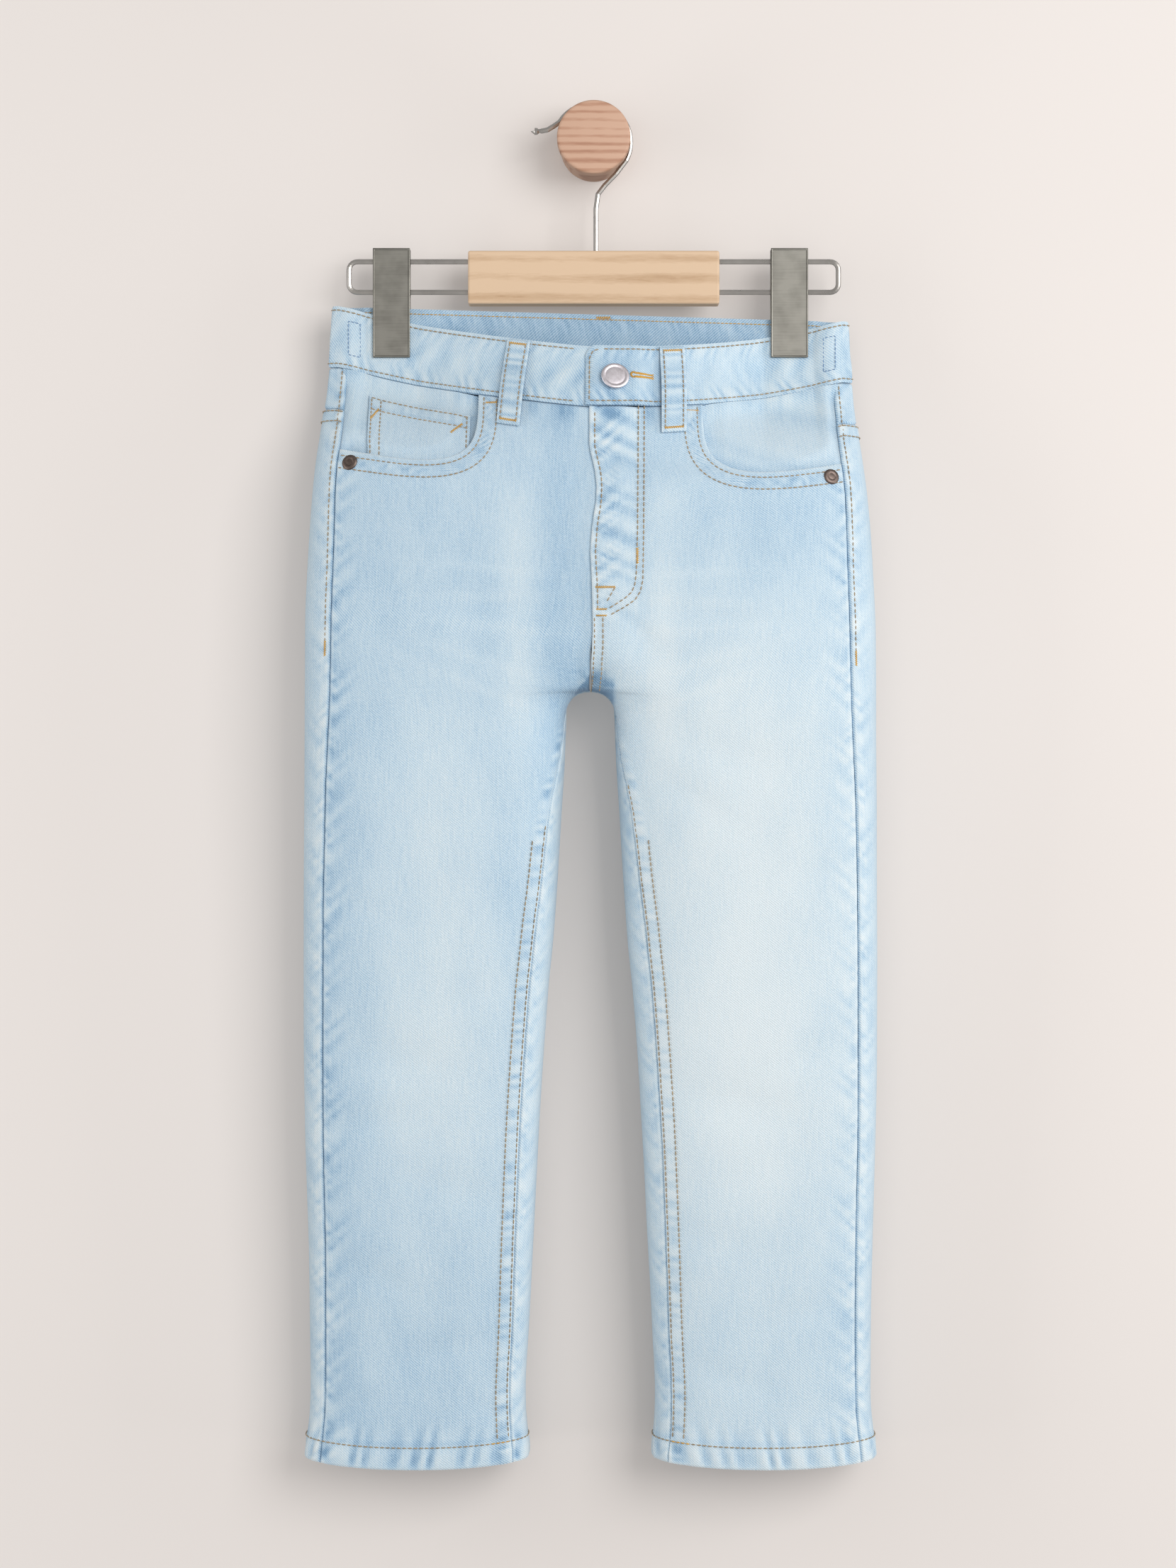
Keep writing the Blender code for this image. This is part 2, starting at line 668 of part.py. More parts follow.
def back_pocket(name, side, material):
    """A plain patch pocket with a pointed lower edge."""
    share = np.linspace(0, 1, 11)[None, :]
    down = np.linspace(0, 1, 9)[:, None]
    narrow = PATCH_NARROWS * down
    x = (PATCH_INNER_X + narrow) + (PATCH_OUTER_X - PATCH_INNER_X - 2 * narrow) * share
    tall = PATCH_SIDE_TALL + (PATCH_POINT_TALL - PATCH_SIDE_TALL) * (1 - np.abs(2 * share - 1))
    z = PATCH_TOP_Z + PATCH_TILT * (share - 0.5) - tall * down
    points, normals = patch(side, x, z, BACK)
    return wall(name, points, normals, PATCH_GAP + PATCH_WALL, -PATCH_GAP, material)


def zip_strip(material):
    """The closed zip, behind the panels that lap over it."""
    x = np.linspace(-ZIP_HALF_WIDE, ZIP_HALF_WIDE, 5)[None, :]
    z = np.linspace(BAND_Z - 2, BAND_Z - 2 - ZIP_LONG, 9)[:, None]
    points, normals = patch(RIGHT, x + 0 * z, z + 0 * x, FRONT)
    sunk = CLOTH + ZIP_BEHIND
    return wall("zip", points, normals, -sunk, sunk + ZIP_THICK, material)


def turned(name, profile, sides, place, material):
    """A round solid. profile is (radius, height) pairs from its axis at the bottom to its axis at the top."""
    verts, faces = [(0, 0, profile[0][1] * MM)], []
    rings = profile[1:-1]
    for radius, height in rings:
        for k in range(sides):
            turn = 2 * math.pi * k / sides
            verts.append((radius * math.cos(turn) * MM, radius * math.sin(turn) * MM, height * MM))
    verts.append((0, 0, profile[-1][1] * MM))
    top = len(verts) - 1
    for k in range(sides):
        after = (k + 1) % sides
        faces.append((0, 1 + after, 1 + k))
        for r in range(len(rings) - 1):
            low, high = 1 + r * sides, 1 + (r + 1) * sides
            faces.append((low + k, low + after, high + after, high + k))
        last = 1 + (len(rings) - 1) * sides
        faces.append((last + k, last + after, top))
    mesh = bpy.data.meshes.new(name)
    mesh.from_pydata(verts, [], faces)
    obj = new_object(name, mesh, material)
    obj.matrix_world = place
    return obj


def facing_out(side, x, z, lift):
    """The placement of a round piece on the front of the jeans, its axis along the cloth's normal."""
    points, normals = patch(side, np.array([[x]], float), np.array([[z]], float), FRONT)
    axis = Vector(normals[0, 0])
    turn = Vector((0, 0, 1)).rotation_difference(axis).to_matrix().to_4x4()
    return Matrix.Translation(Vector((points[0, 0] + normals[0, 0] * lift) * MM)) @ turn


def button(material):
    """A shank button: a post, a wide rim and a shallow plain face with a low boss."""
    radius = BUTTON_ACROSS / 2
    profile = [(0, 0), (5.0, 0), (5.2, 1.0), (radius - 0.4, 1.1), (radius, 1.7), (radius - 0.6, 2.4)]
    profile += [(radius - 2.6, 2.5), (radius - 3.2, 2.1), (2.2, 2.1), (1.7, 2.5), (0, 2.6)]
    place = facing_out(RIGHT, BUTTON_X, BUTTON_Z, BAND_PROUD + BAND_LIFT + LAP_GAP)
    turned("button", profile, 24, place, material)


def rivets(material):
    """A rivet at the outer end of each pocket opening: a sloped washer with a low nub."""
    radius = RIVET_ACROSS / 2
    profile = [(0, 0), (radius, 0), (radius, 0.7), (radius - 1.0, 1.5), (1.9, 1.3), (1.5, 1.9), (0, 2.0)]
    for name, side in (("rivet_left", LEFT), ("rivet_right", RIGHT)):
        turned(name, profile, 16, facing_out(side, RIVET_X, RIVET_Z, RIVET_LIFT), material)


def wire(name, points, radii, thick, material):
    """A round wire along points, with its radius scaled at each."""
    data = bpy.data.curves.new(name, "CURVE")
    data.dimensions = "3D"
    data.bevel_depth = thick / 2 * MM
    data.bevel_resolution = 2
    data.use_fill_caps = True
    spline = data.splines.new("POLY")
    spline.points.add(len(points) - 1)
    for point, place, radius in zip(spline.points, points, radii):
        point.co = (place[0] * MM, place[1] * MM, place[2] * MM, 1)
        point.radius = radius
    obj = bpy.data.objects.new(name, data)
    bpy.context.scene.collection.objects.link(obj)
    data.materials.append(material)
    return obj


def arc(centre, radius, start, end, count):
    """Points in the hanger's plane round a centre, angles in degrees from +X."""
    turns = np.radians(np.linspace(start, end, count))
    return [(centre[0] + radius * math.cos(t), HANGER_Y, centre[1] + radius * math.sin(t)) for t in turns]


def hook(material):
    """The hook's wire, from the bar, over the peg, to the ball on its end."""
    path = arc((HOOK_CENTRE_X, HOOK_CENTRE_Z), HOOK_RADIUS, -28, 148, 22)
    low = [(13.6, HANGER_Y, -20.5), (6.8, HANGER_Y, -27.5), (2.6, HANGER_Y, -33.0)]
    foot = [(HOOK_FOOT_X, HANGER_Y, z) for z in (HOOK_FOOT_TOP_Z, BAR_TOP_Z + LAP_GAP)]
    tail = [(-24.6, HANGER_Y, 8.6), (-28.4, HANGER_Y, 6.4), (-32.0, HANGER_Y, 5.7)]
    points = foot[::-1] + low[::-1] + path + tail
    radii = [1.0] * len(points)
    swell = HOOK_BALL / HOOK_WIRE
    for turn in (50, 70, 90, 115, 140, 160):
        reach = HOOK_BALL / 2 * math.cos(math.radians(turn))
        points.append((HOOK_BALL_X - reach, HANGER_Y, HOOK_BALL_Z))
        radii.append(swell * math.sin(math.radians(turn)))
    wire("hanger_hook", points, radii, HOOK_WIRE, material)


def loop_wires(material):
    """Two bent wires, each from one end of the bar, out, down and back."""
    for name, side in (("hanger_wire_left", LEFT), ("hanger_wire_right", RIGHT)):
        start = side * (BAR_HALF_LONG + LAP_GAP)
        top = (side * (END_X - END_BEND), END_TOP_Z - END_BEND)
        low = (side * (END_X - END_BEND), END_BOTTOM_Z + END_BEND)
        outwards, below = (0, -90) if side == RIGHT else (180, 270)
        bends = arc(top, END_BEND, 90, outwards, 6) + arc(low, END_BEND, outwards, below, 6)
        points = [(start, HANGER_Y, END_TOP_Z)] + bends + [(start, HANGER_Y, END_BOTTOM_Z)]
        wire(name, points, [1.0] * len(points), END_WIRE, material)


def box(name, low, high, bevel, material):
    """A box between two corners with rounded edges."""
    mesh = bpy.data.meshes.new(name)
    work = bmesh.new()
    bmesh.ops.create_cube(work, size=1)
    low, high = Vector(low) * MM, Vector(high) * MM
    for vert in work.verts:
        vert.co = Vector(((low + high) / 2)[i] + vert.co[i] * (high - low)[i] for i in range(3))
    work.to_mesh(mesh)
    work.free()
    obj = new_object(name, mesh, material, smooth=False)
    rounded = obj.modifiers.new("rounded", "BEVEL")
    rounded.width = bevel * MM
    rounded.segments = 2
    rounded.limit_method = "NONE"
    return obj


def clips(material):
    """Two clips, each of two jaws that close on the waistband and a pivot between them."""
    reach = PINCH_DEPTH + BAND_PROUD + LAP_GAP + CLIP_SLACK
    for name, side in (("left", LEFT), ("right", RIGHT)):
        centre = CENTRE_X + side * CLIP_AT
        sides = (centre - CLIP_WIDE / 2, centre + CLIP_WIDE / 2)
        for jaw, towards in (("front", -1), ("back", 1)):
            near, far = HANGER_Y + towards * reach, HANGER_Y + towards * (reach + CLIP_PLATE)
            low = (sides[0], min(near, far), CLIP_BOTTOM_Z)
            high = (sides[1], max(near, far), CLIP_TOP_Z)
            box(f"clip_{name}_{jaw}", low, high, CLIP_BEVEL, material)
        radius = reach - LAP_GAP
        profile = [(0, 0), (radius, 0), (radius, CLIP_WIDE - 2), (0, CLIP_WIDE - 2)]
        place = Matrix.Translation(Vector((sides[0] + 1, HANGER_Y, PIVOT_Z)) * MM)
        turned(f"clip_{name}_pivot", profile, 14, place @ Matrix.Rotation(math.pi / 2, 4, "Y"), material)


def peg(material):
    """A turned peg: a neck from the wall and a wider disc on its end."""
    neck, tall = -(PEG_FACE_Y + PEG_DISC_THICK), -PEG_FACE_Y
    disc = PEG_DISC_RADIUS
    profile = [(0, 0), (PEG_NECK_RADIUS, 0), (PEG_NECK_RADIUS, neck), (disc - 1, neck), (disc, neck + 1)]
    profile += [(disc, tall - 2), (disc - 0.6, tall - 0.6), (disc - 2, tall), (0, tall)]
    turned("wall_peg", profile, 32, Matrix.Rotation(math.pi / 2, 4, "X"), material)


def material(name, colour, roughness, metallic=0.0):
    made = bpy.data.materials.new(name)
    made.use_nodes = True
    shader = made.node_tree.nodes["Principled BSDF"]
    shader.inputs["Base Color"].default_value = (*colour, 1)
    shader.inputs["Roughness"].default_value = roughness
    shader.inputs["Metallic"].default_value = metallic
    return made


def main():
    for obj in list(bpy.data.objects):
        bpy.data.objects.remove(obj, do_unlink=True)
    denim = material("denim", (0.52, 0.68, 0.79), 0.85)
    tape = material("zip_tape", (0.35, 0.42, 0.50), 0.7)
    nickel = material("nickel", (0.62, 0.58, 0.56), 0.4, 1.0)
    bronze = material("bronze", (0.24, 0.19, 0.16), 0.45, 1.0)
    steel = material("steel", (0.70, 0.70, 0.69), 0.3, 1.0)
    beech = material("beech", (0.72, 0.52, 0.33), 0.5)
    pine = material("pine", (0.62, 0.36, 0.20), 0.5)
    for name, side in (("left", LEFT), ("right", RIGHT)):
        front_panel(f"front_{name}", side, denim)
        back_panel(f"back_{name}", side, denim)
        yoke(f"yoke_{name}", side, denim)
        back_pocket(f"back_pocket_{name}", side, denim)
        belt_loop(f"belt_loop_side_{name}", side, BACK, 96.0, 0.0, denim)
    facing("facing_right", RIGHT, FACING_SINK, denim)
    facing("facing_left", LEFT, COIN_FACING_SINK, denim)
    coin_pocket(denim)
    waistband(denim)
    belt_loop("belt_loop_front_left", LEFT, FRONT, 46.0, 6.5, denim, wide=13.5)
    belt_loop("belt_loop_front_right", RIGHT, FRONT, 49.2, 1.0, denim, wide=14.8)
    belt_loop("belt_loop_centre", RIGHT, BACK, 0.0, 0.0, denim)
    zip_strip(tape)
    button(nickel)
    rivets(bronze)
    bar_low = (-BAR_HALF_LONG, HANGER_Y - BAR_THICK / 2, BAR_BOTTOM_Z)
    bar_high = (BAR_HALF_LONG, HANGER_Y + BAR_THICK / 2, BAR_TOP_Z)
    box("hanger_bar", bar_low, bar_high, BAR_BEVEL, beech)
    hook(steel)
    loop_wires(steel)
    clips(steel)
    peg(pine)


main()
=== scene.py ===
"""The looks of a child's pale denim jeans on a clip hanger and wall peg.

Every sewn piece is a thin closed shell on the same ruled surface as its solid, so it lies in the same
place and only adds creases, seam ridges, puckers, stitches and faded denim, with painted shade and painted
light in some places. Sizes are in millimetres and turned into metres as a mesh is made. +X is the viewer's
right, -Y comes out of the wall and +Z is up.
"""

import math
from collections import namedtuple

import bmesh
import bpy
import numpy as np
from mathutils import Matrix, Vector


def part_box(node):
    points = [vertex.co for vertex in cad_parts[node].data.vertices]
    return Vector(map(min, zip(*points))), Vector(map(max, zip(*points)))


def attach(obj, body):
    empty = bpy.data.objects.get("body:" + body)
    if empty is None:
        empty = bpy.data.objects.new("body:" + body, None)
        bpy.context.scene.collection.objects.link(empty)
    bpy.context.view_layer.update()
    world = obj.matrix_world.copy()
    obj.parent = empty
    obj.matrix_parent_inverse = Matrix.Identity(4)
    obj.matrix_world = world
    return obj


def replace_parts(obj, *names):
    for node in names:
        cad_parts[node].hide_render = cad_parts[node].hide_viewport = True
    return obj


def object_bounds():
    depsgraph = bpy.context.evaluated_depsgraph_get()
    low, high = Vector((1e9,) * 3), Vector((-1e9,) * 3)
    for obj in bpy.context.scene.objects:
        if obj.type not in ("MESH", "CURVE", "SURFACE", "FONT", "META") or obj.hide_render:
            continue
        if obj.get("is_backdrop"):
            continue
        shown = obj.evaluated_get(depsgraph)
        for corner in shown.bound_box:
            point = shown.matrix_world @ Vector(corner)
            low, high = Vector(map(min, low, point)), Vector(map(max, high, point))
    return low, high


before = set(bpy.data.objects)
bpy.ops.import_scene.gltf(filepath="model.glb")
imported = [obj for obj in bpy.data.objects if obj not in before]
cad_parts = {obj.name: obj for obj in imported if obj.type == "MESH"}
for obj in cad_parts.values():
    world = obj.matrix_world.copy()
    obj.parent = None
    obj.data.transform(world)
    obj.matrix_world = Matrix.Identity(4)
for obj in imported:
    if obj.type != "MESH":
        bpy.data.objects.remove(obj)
CAD_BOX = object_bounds()

MM = 0.001

# Cloth
CLOTH = 1.5
SEAM = 0.4
LAP_GAP = 0.3
CENTRE_X = -2.0

# Waist
WAIST_Z = -106.5
BAND_TALL = 37.5
BAND_Z = WAIST_Z - BAND_TALL
BAND_PROUD = 0.6
BAND_INNER = 2.0
FRONT_SAG = 24.0
SAG_HALF_WIDTH = 154.0
SAG_POWER_LEFT = 1.4
SAG_POWER_RIGHT = 1.8
SKEW = -0.03
SKEW_ENDS_Z = -560.0
SAG_ENDS_Z = -320.0

# Where the clips pinch the waist. The ear is the open fold of cloth outside each clip
CLIP_AT = 121.6
CLIP_WIDE = 22.7
PINCH_DEPTH = 2.15
PINCH_FROM_Z = -136.0
PINCH_TO_Z = -215.0
BOW_HALF_WIDTH = 106.0
BOW_POWER = 1.1
EAR_FROM = 137.0
EAR_TO = 158.0
EAR_DEPTH = 5.0

# Crotch and hem
CROTCH_Z = -338.0
ARCH_TALL = 12.0
ARCH_HALF_WIDTH = 14.3
CROTCH_SPREAD = 1.7
TUCK = 3.5
TUCK_TO_Z = -520.0
HEM_Z = -803.0
HEM_TALL = 15.0
HEM_PROUD = 0.8
HEM_INNER = 2.3
HEM_DIP = 4.5
HEM_DIP_FROM_Z = -700.0

# Height at which the row from the pocket opening's lower end meets the fly
FAN_INNER_Z = -208.0

# Front pocket opening, a superellipse quarter below the band
POCKET_START_X = 68.0
POCKET_DEEP = 52.0
POCKET_POWER = 3.9
FACING_SINK = 2.3
FACING_WALL = 1.2
FACING_BELOW = 16.0
FACING_TAIL_SINK = 2.2
FACING_BEHIND = 14.0
SINK_AT_SEAM = 1.75
COIN_WALL = 1.1
COIN_FACING_SINK = 3.9
COIN_GAP = 0.7
COIN_INNER_X = 73.0
COIN_OUTER_X = 134.5
COIN_TOP_INNER_Z = -157.5
COIN_TOP_OUTER_Z = -156.5
COIN_BOTTOM_Z = -199.0

# Back patch pockets
PATCH_INNER_X = 30.0
PATCH_OUTER_X = 122.0
PATCH_TOP_Z = -222.0
PATCH_SIDE_TALL = 78.0
PATCH_POINT_TALL = 92.0
PATCH_NARROWS = 4.0
PATCH_TILT = 7.0
PATCH_GAP = 0.5
PATCH_WALL = 1.2

# Belt loops
LOOP_WIDE = 13.0
LOOP_TOP_Z = WAIST_Z - 1.0
LOOP_BELOW_BAND = 18.0
LOOP_TALL = LOOP_TOP_Z - BAND_Z + LOOP_BELOW_BAND
LOOP_BOW = 1.6
LOOP_WALL = 1.6

# Fly
FLY_LAP = 6.0
FLY_RAISE = CLOTH + LAP_GAP
FLY_RAISE_FROM = 15.0
FLY_RAISE_TO = 34.0
FLY_END_Z = -318.0
BAND_END = -3.0
BAND_UNDER = 22.0
BAND_LIFT = BAND_PROUD + BAND_INNER + LAP_GAP
BAND_LIFT_TO = 40.5

# Yoke seam
YOKE_SIDE_Z = -170.0
YOKE_CENTRE_Z = -205.0

# Hardware of the jeans
BUTTON_ACROSS = 17.0
BUTTON_X = 14.2
BUTTON_Z = -127.6
RIVET_ACROSS = 9.7
RIVET_X = 144.5
RIVET_Z = -203.5
RIVET_LIFT = -0.35

# Clips' jaws
CLIP_BOTTOM_Z = -133.4
CLIP_BEVEL = 0.45

# Peg
PEG_DISC_RADIUS = 22.4
PEG_NECK_RADIUS = 20.4
PEG_FACE_Y = -40.0
PEG_DISC_THICK = 10.0

FRONT, BACK = 1, -1
RIGHT, LEFT = 1, -1

# Sections of the jeans, top to hem. half_width is from the centre to the outer edge, mid is the depth
# of that edge, front and back are the depths of the cloth before and behind it at the centre,
# roundness is the superellipse power, and side_seam is how far the seam lies in from the edge.
Section = namedtuple("Section", "z half_width mid front back roundness side_seam")
SECTIONS = [
    Section(-100, 157.0, -27.0, 29.0, 2.15, 5.0, 11.0),
    Section(-136, 159.4, -27.0, 33.0, 2.15, 5.0, 11.5),
    Section(-160, 161.1, -29.0, 40.0, 10.0, 4.2, 12.0),
    Section(-185, 164.6, -32.5, 43.5, 19.0, 3.6, 14.0),
    Section(-210, 167.8, -35.5, 44.0, 25.5, 3.2, 14.5),
    Section(-235, 169.9, -38.0, 42.5, 30.5, 3.0, 15.5),
    Section(-262, 171.5, -39.5, 40.5, 33.5, 2.9, 16.5),
    Section(-300, 173.2, -40.0, 38.5, 35.2, 2.9, 17.0),
    Section(-340, 173.4, -40.0, 37.0, 35.5, 2.9, 16.5),
    Section(-400, 173.7, -39.0, 35.0, 34.5, 2.9, 14.0),
    Section(-460, 174.2, -37.5, 33.0, 33.0, 2.9, 13.0),
    Section(-530, 174.4, -36.0, 31.5, 31.5, 2.9, 12.6),
    Section(-600, 173.8, -34.5, 30.0, 29.5, 3.0, 12.0),
    Section(-680, 171.6, -33.0, 28.5, 27.5, 3.0, 11.0),
    Section(-760, 170.7, -31.8, 26.5, 26.0, 3.1, 10.0),
    Section(HEM_Z, 173.5, -31.3, 26.5, 26.0, 3.1, 9.7),
]

# Inner side of a leg. gap is from the centre to the leg's inner edge, and inseam is how far the seam
# lies outward of it on the front.
Inner = namedtuple("Inner", "z gap inseam")
INNER = [
    Inner(-350, 14.5, 0.0),
    Inner(-366, 15.0, 0.6),
    Inner(-384, 15.8, 2.2),
    Inner(-410, 17.5, 5.5),
    Inner(-451, 19.9, 8.5),
    Inner(-486, 22.4, 11.0),
    Inner(-520, 25.7, 11.6),
    Inner(-589, 30.5, 11.6),
    Inner(-658, 34.2, 11.0),
    Inner(-727, 37.6, 10.0),
    Inner(-764, 39.4, 9.8),
    Inner(HEM_Z, 38.1, 9.5),
]

# The largest folds, as soft troughs across the cloth. x and z are the middle, turn is the angle of the
# fold's line above the horizontal, and depth is how far the cloth sinks there.
Fold = namedtuple("Fold", "side face x z turn half_long half_wide depth")
FOLDS = [
    Fold(LEFT, FRONT, 46, -318, -32, 42, 11, 1.6),
    Fold(RIGHT, FRONT, 50, -322, -30, 46, 11, 1.5),
    Fold(LEFT, FRONT, 62, -362, -14, 50, 13, 1.3),
    Fold(RIGHT, FRONT, 66, -368, -16, 48, 13, 1.4),
    Fold(LEFT, FRONT, 118, -560, 10, 40, 16, 1.5),
    Fold(RIGHT, FRONT, 82, -585, -12, 42, 16, 1.5),
    Fold(LEFT, BACK, 62, -352, 24, 60, 14, 2.2),
    Fold(RIGHT, BACK, 58, -356, 22, 60, 14, 2.2),
    Fold(LEFT, BACK, 98, -556, 8, 60, 17, 2.6),
    Fold(RIGHT, BACK, 102, -548, -6, 60, 17, 2.6),
    Fold(LEFT, BACK, 92, -604, -8, 52, 15, 2.0),
    Fold(RIGHT, BACK, 96, -598, 9, 52, 15, 2.0),
]

# Rows of the panels where the legs part: height at the inner edge and at the outer edge.
Row = namedtuple("Row", "inner outer")
CROTCH_ROWS = [
    Row(-284, -276),
    Row(-301, -291),
    Row(-315, -304),
    Row(-325.5, -316),
    Row(-332.5, -326),
    Row(-336.6, -335),
    Row(CROTCH_Z, -343),
    Row(-339.0, -350),
    Row(-341.5, -357),
    Row(-346.0, -364),
    Row(-353.0, -371),
    Row(-364.0, -379),
    Row(-379.0, -391),
]
LEG_ROWS = [-408, -432, -458, -486, -514, -540, -564, -588, -612, -640, -668, -696, -724, -750, -772]
HEM_ROWS = [HEM_Z + HEM_TALL, HEM_Z + HEM_TALL - 2.0, HEM_Z]


def column(table, name):
    return np.array([getattr(row, name) for row in table], float)


def slopes_of(z, v):
    """Slopes that keep a cubic through (z, v) from overshooting."""
    step = np.diff(z)
    rise = np.diff(v) / step
    slopes = np.zeros(len(z))
    slopes[0], slopes[-1] = rise[0], rise[-1]
    for i in range(1, len(z) - 1):
        if rise[i - 1] * rise[i] > 0:
            slopes[i] = 2 * rise[i - 1] * rise[i] / (rise[i - 1] + rise[i])
    return slopes


def curve_through(table, name):
    """A smooth function of z through one column of a table that runs downwards."""
    z = column(table, "z")[::-1]
    v = column(table, name)[::-1]
    m = slopes_of(z, v)

    def at(wanted):
        q = np.clip(wanted, z[0], z[-1])
        i = np.clip(np.searchsorted(z, q) - 1, 0, len(z) - 2)
        h = z[i + 1] - z[i]
        t = (q - z[i]) / h
        return (
            v[i] * (1 + 2 * t) * (1 - t) ** 2
            + v[i + 1] * t**2 * (3 - 2 * t)
            + h * m[i] * t * (1 - t) ** 2
            + h * m[i + 1] * t**2 * (t - 1)
        )

    return at


half_width = curve_through(SECTIONS, "half_width")
mid_depth = curve_through(SECTIONS, "mid")
front_depth = curve_through(SECTIONS, "front")
back_depth = curve_through(SECTIONS, "back")
roundness = curve_through(SECTIONS, "roundness")
side_inset = curve_through(SECTIONS, "side_seam")
leg_gap = curve_through(INNER, "gap")
inseam_inset = curve_through(INNER, "inseam")


def ease(v, start, end):
    """0 at start, 1 at end, smooth between."""
    t = np.clip((v - start) / (end - start), 0, 1)
    return t * t * (3 - 2 * t)


def inner_edge(z):
    """Where a half's tube ends on its inner side: above the crotch past the centre, where the tube is cut."""
    above = -CROTCH_SPREAD * (z - CROTCH_Z)
    risen = np.clip((z - CROTCH_Z + ARCH_TALL) / ARCH_TALL, 0, 1)
    arch = SEAM / 2 + ARCH_HALF_WIDTH * np.sqrt(1 - risen**2)
    below = np.where(z < CROTCH_Z - ARCH_TALL, leg_gap(z), arch)
    return np.maximum(np.where(z > CROTCH_Z, above, below), -half_width(z))


def side_seam_x(z):
    return half_width(z) - side_inset(z)


def inseam_x(z):
    return inner_edge(z) + np.where(z < CROTCH_Z - ARCH_TALL, inseam_inset(z), 0)


def fold_depth(side, face, x, z):
    total = np.zeros(np.broadcast(x, z).shape)
    for fold in FOLDS:
        if (fold.side, fold.face) != (side, face):
            continue
        turn = math.radians(fold.turn)
        along = (x - fold.x) * math.cos(turn) + (z - fold.z) * math.sin(turn)
        across = (z - fold.z) * math.cos(turn) - (x - fold.x) * math.sin(turn)
        total += fold.depth * np.exp(-((along / fold.half_long) ** 2) - (across / fold.half_wide) ** 2)
    return total


def at(side, across, z, face):
    """Points of the outer surface, at height z before the front sags at the waist and dips at the hem.

    across runs from -1 at a half's inner edge to 1 at its outer edge.
    """
    inner, outer = inner_edge(z), half_width(z)
    x = (outer + inner) / 2 + (outer - inner) / 2 * across
    power = roundness(z)
    swell = np.clip(1 - np.abs(across) ** power, 0, 1) ** (1 / power)
    sag_power = SAG_POWER_LEFT if side == LEFT else SAG_POWER_RIGHT
    sag = -FRONT_SAG * (1 - np.clip(np.abs(x) / SAG_HALF_WIDTH, 0, 1) ** sag_power)
    dip = -HEM_DIP * (1 - across**2) * ease(z, HEM_DIP_FROM_Z, HEM_Z)
    low = z + (sag * ease(z, SAG_ENDS_Z, BAND_Z) + dip) * (face == FRONT)
    pinched = ease(low, PINCH_TO_Z, PINCH_FROM_Z)
    bow = np.cos(np.clip(np.abs(x) / BOW_HALF_WIDTH, 0, 1) * math.pi / 2) ** BOW_POWER
    ear = EAR_DEPTH * np.sin(np.clip((np.abs(x) - EAR_FROM) / (EAR_TO - EAR_FROM), 0, 1) * math.pi)
    front = front_depth(low) * (1 - pinched + pinched * bow) + pinched * (PINCH_DEPTH + ear)
    back = back_depth(low) + pinched * ear
    depth = np.where(face == FRONT, front, back)
    tucked = TUCK * ease(z, TUCK_TO_Z, CROTCH_Z - 60) * (1 - ease(z, CROTCH_Z - 20, CROTCH_Z))
    x = x + np.where(face == FRONT, tucked * swell * np.clip(-across, 0, 1) ** 2, 0)
    front_fold, back_fold = (fold_depth(side, way, x, low) for way in (FRONT, BACK))
    folded = np.where(face == FRONT, front_fold, back_fold)
    y = mid_depth(low) - face * swell * (depth - folded)
    tilt = SKEW * side * x * ease(z, SKEW_ENDS_Z, BAND_Z)
    return np.stack([CENTRE_X + side * x, y, low + tilt], axis=-1)


def across_of(x, z):
    inner, outer = inner_edge(z), half_width(z)
    return np.clip((2 * x - outer - inner) / (outer - inner), -1, 1)


def unit(v):
    return v / np.linalg.norm(v, axis=-1, keepdims=True)


def steps(points, axis=0):
    """Distances between neighbouring points."""
    return np.linalg.norm(np.diff(points, axis=axis), axis=-1)


def run_of(points):
    """Distance of each point along its line."""
    return np.concatenate([[0], np.cumsum(steps(points))])


def picked(values, run, wanted):
    """The columns of values at wanted distances along a line."""
    return np.stack([np.interp(wanted, run, column) for column in values.T], axis=-1)


def surface(side, across, z, face):
    """(points, outward normals) along one row, from the inner edge outwards and round to the back."""
    points = at(side, across, z, face)
    along = np.gradient(points, axis=0)
    upward = at(side, across, z + 0.5, face) - at(side, across, z - 0.5, face)
    return points, side * unit(np.cross(along, upward))


SAMPLES = 260


def spaced(start, end, near_start=1.0, near_end=1.0):
    """SAMPLES values from start to end, closer together at an end whose power is over 1."""
    t = np.linspace(0, 1, SAMPLES)
    if near_end > 1:
        t = np.where(t < 0.5, 0.5 * (2 * t) ** near_start, 1 - 0.5 * (2 - 2 * t) ** near_end)
    else:
        t = t**near_start
    return start + (end - start) * t


def patch(side, x, z, face):
    """(points, outward normals) of a grid of places given by x from the centre and height."""
    across = across_of(x, z)
    faces = np.full(x.shape, face)
    step = 0.002
    points = at(side, across, z, faces)
    along = at(side, across + step, z, faces) - at(side, across - step, z, faces)
    upward = at(side, across, z + 0.5, faces) - at(side, across, z - 0.5, faces)
    return points, side * face * unit(np.cross(along, upward))


def pocket_edge(count):
    """Points (x, z) of the pocket opening, from the band to the side seam."""
    end_z = BAND_Z - POCKET_DEEP
    end_x = side_seam_x(end_z)
    turn = np.linspace(0, math.pi / 2, SAMPLES)
    x = end_x - (end_x - POCKET_START_X) * np.cos(turn) ** (2 / POCKET_POWER)
    z = BAND_Z - POCKET_DEEP * np.sin(turn) ** (2 / POCKET_POWER)
    run = np.concatenate([[0], np.cumsum(np.hypot(np.diff(x), np.diff(z)))])
    wanted = np.linspace(0, run[-1], count)
    return list(zip(np.interp(wanted, run, x), np.interp(wanted, run, z)))


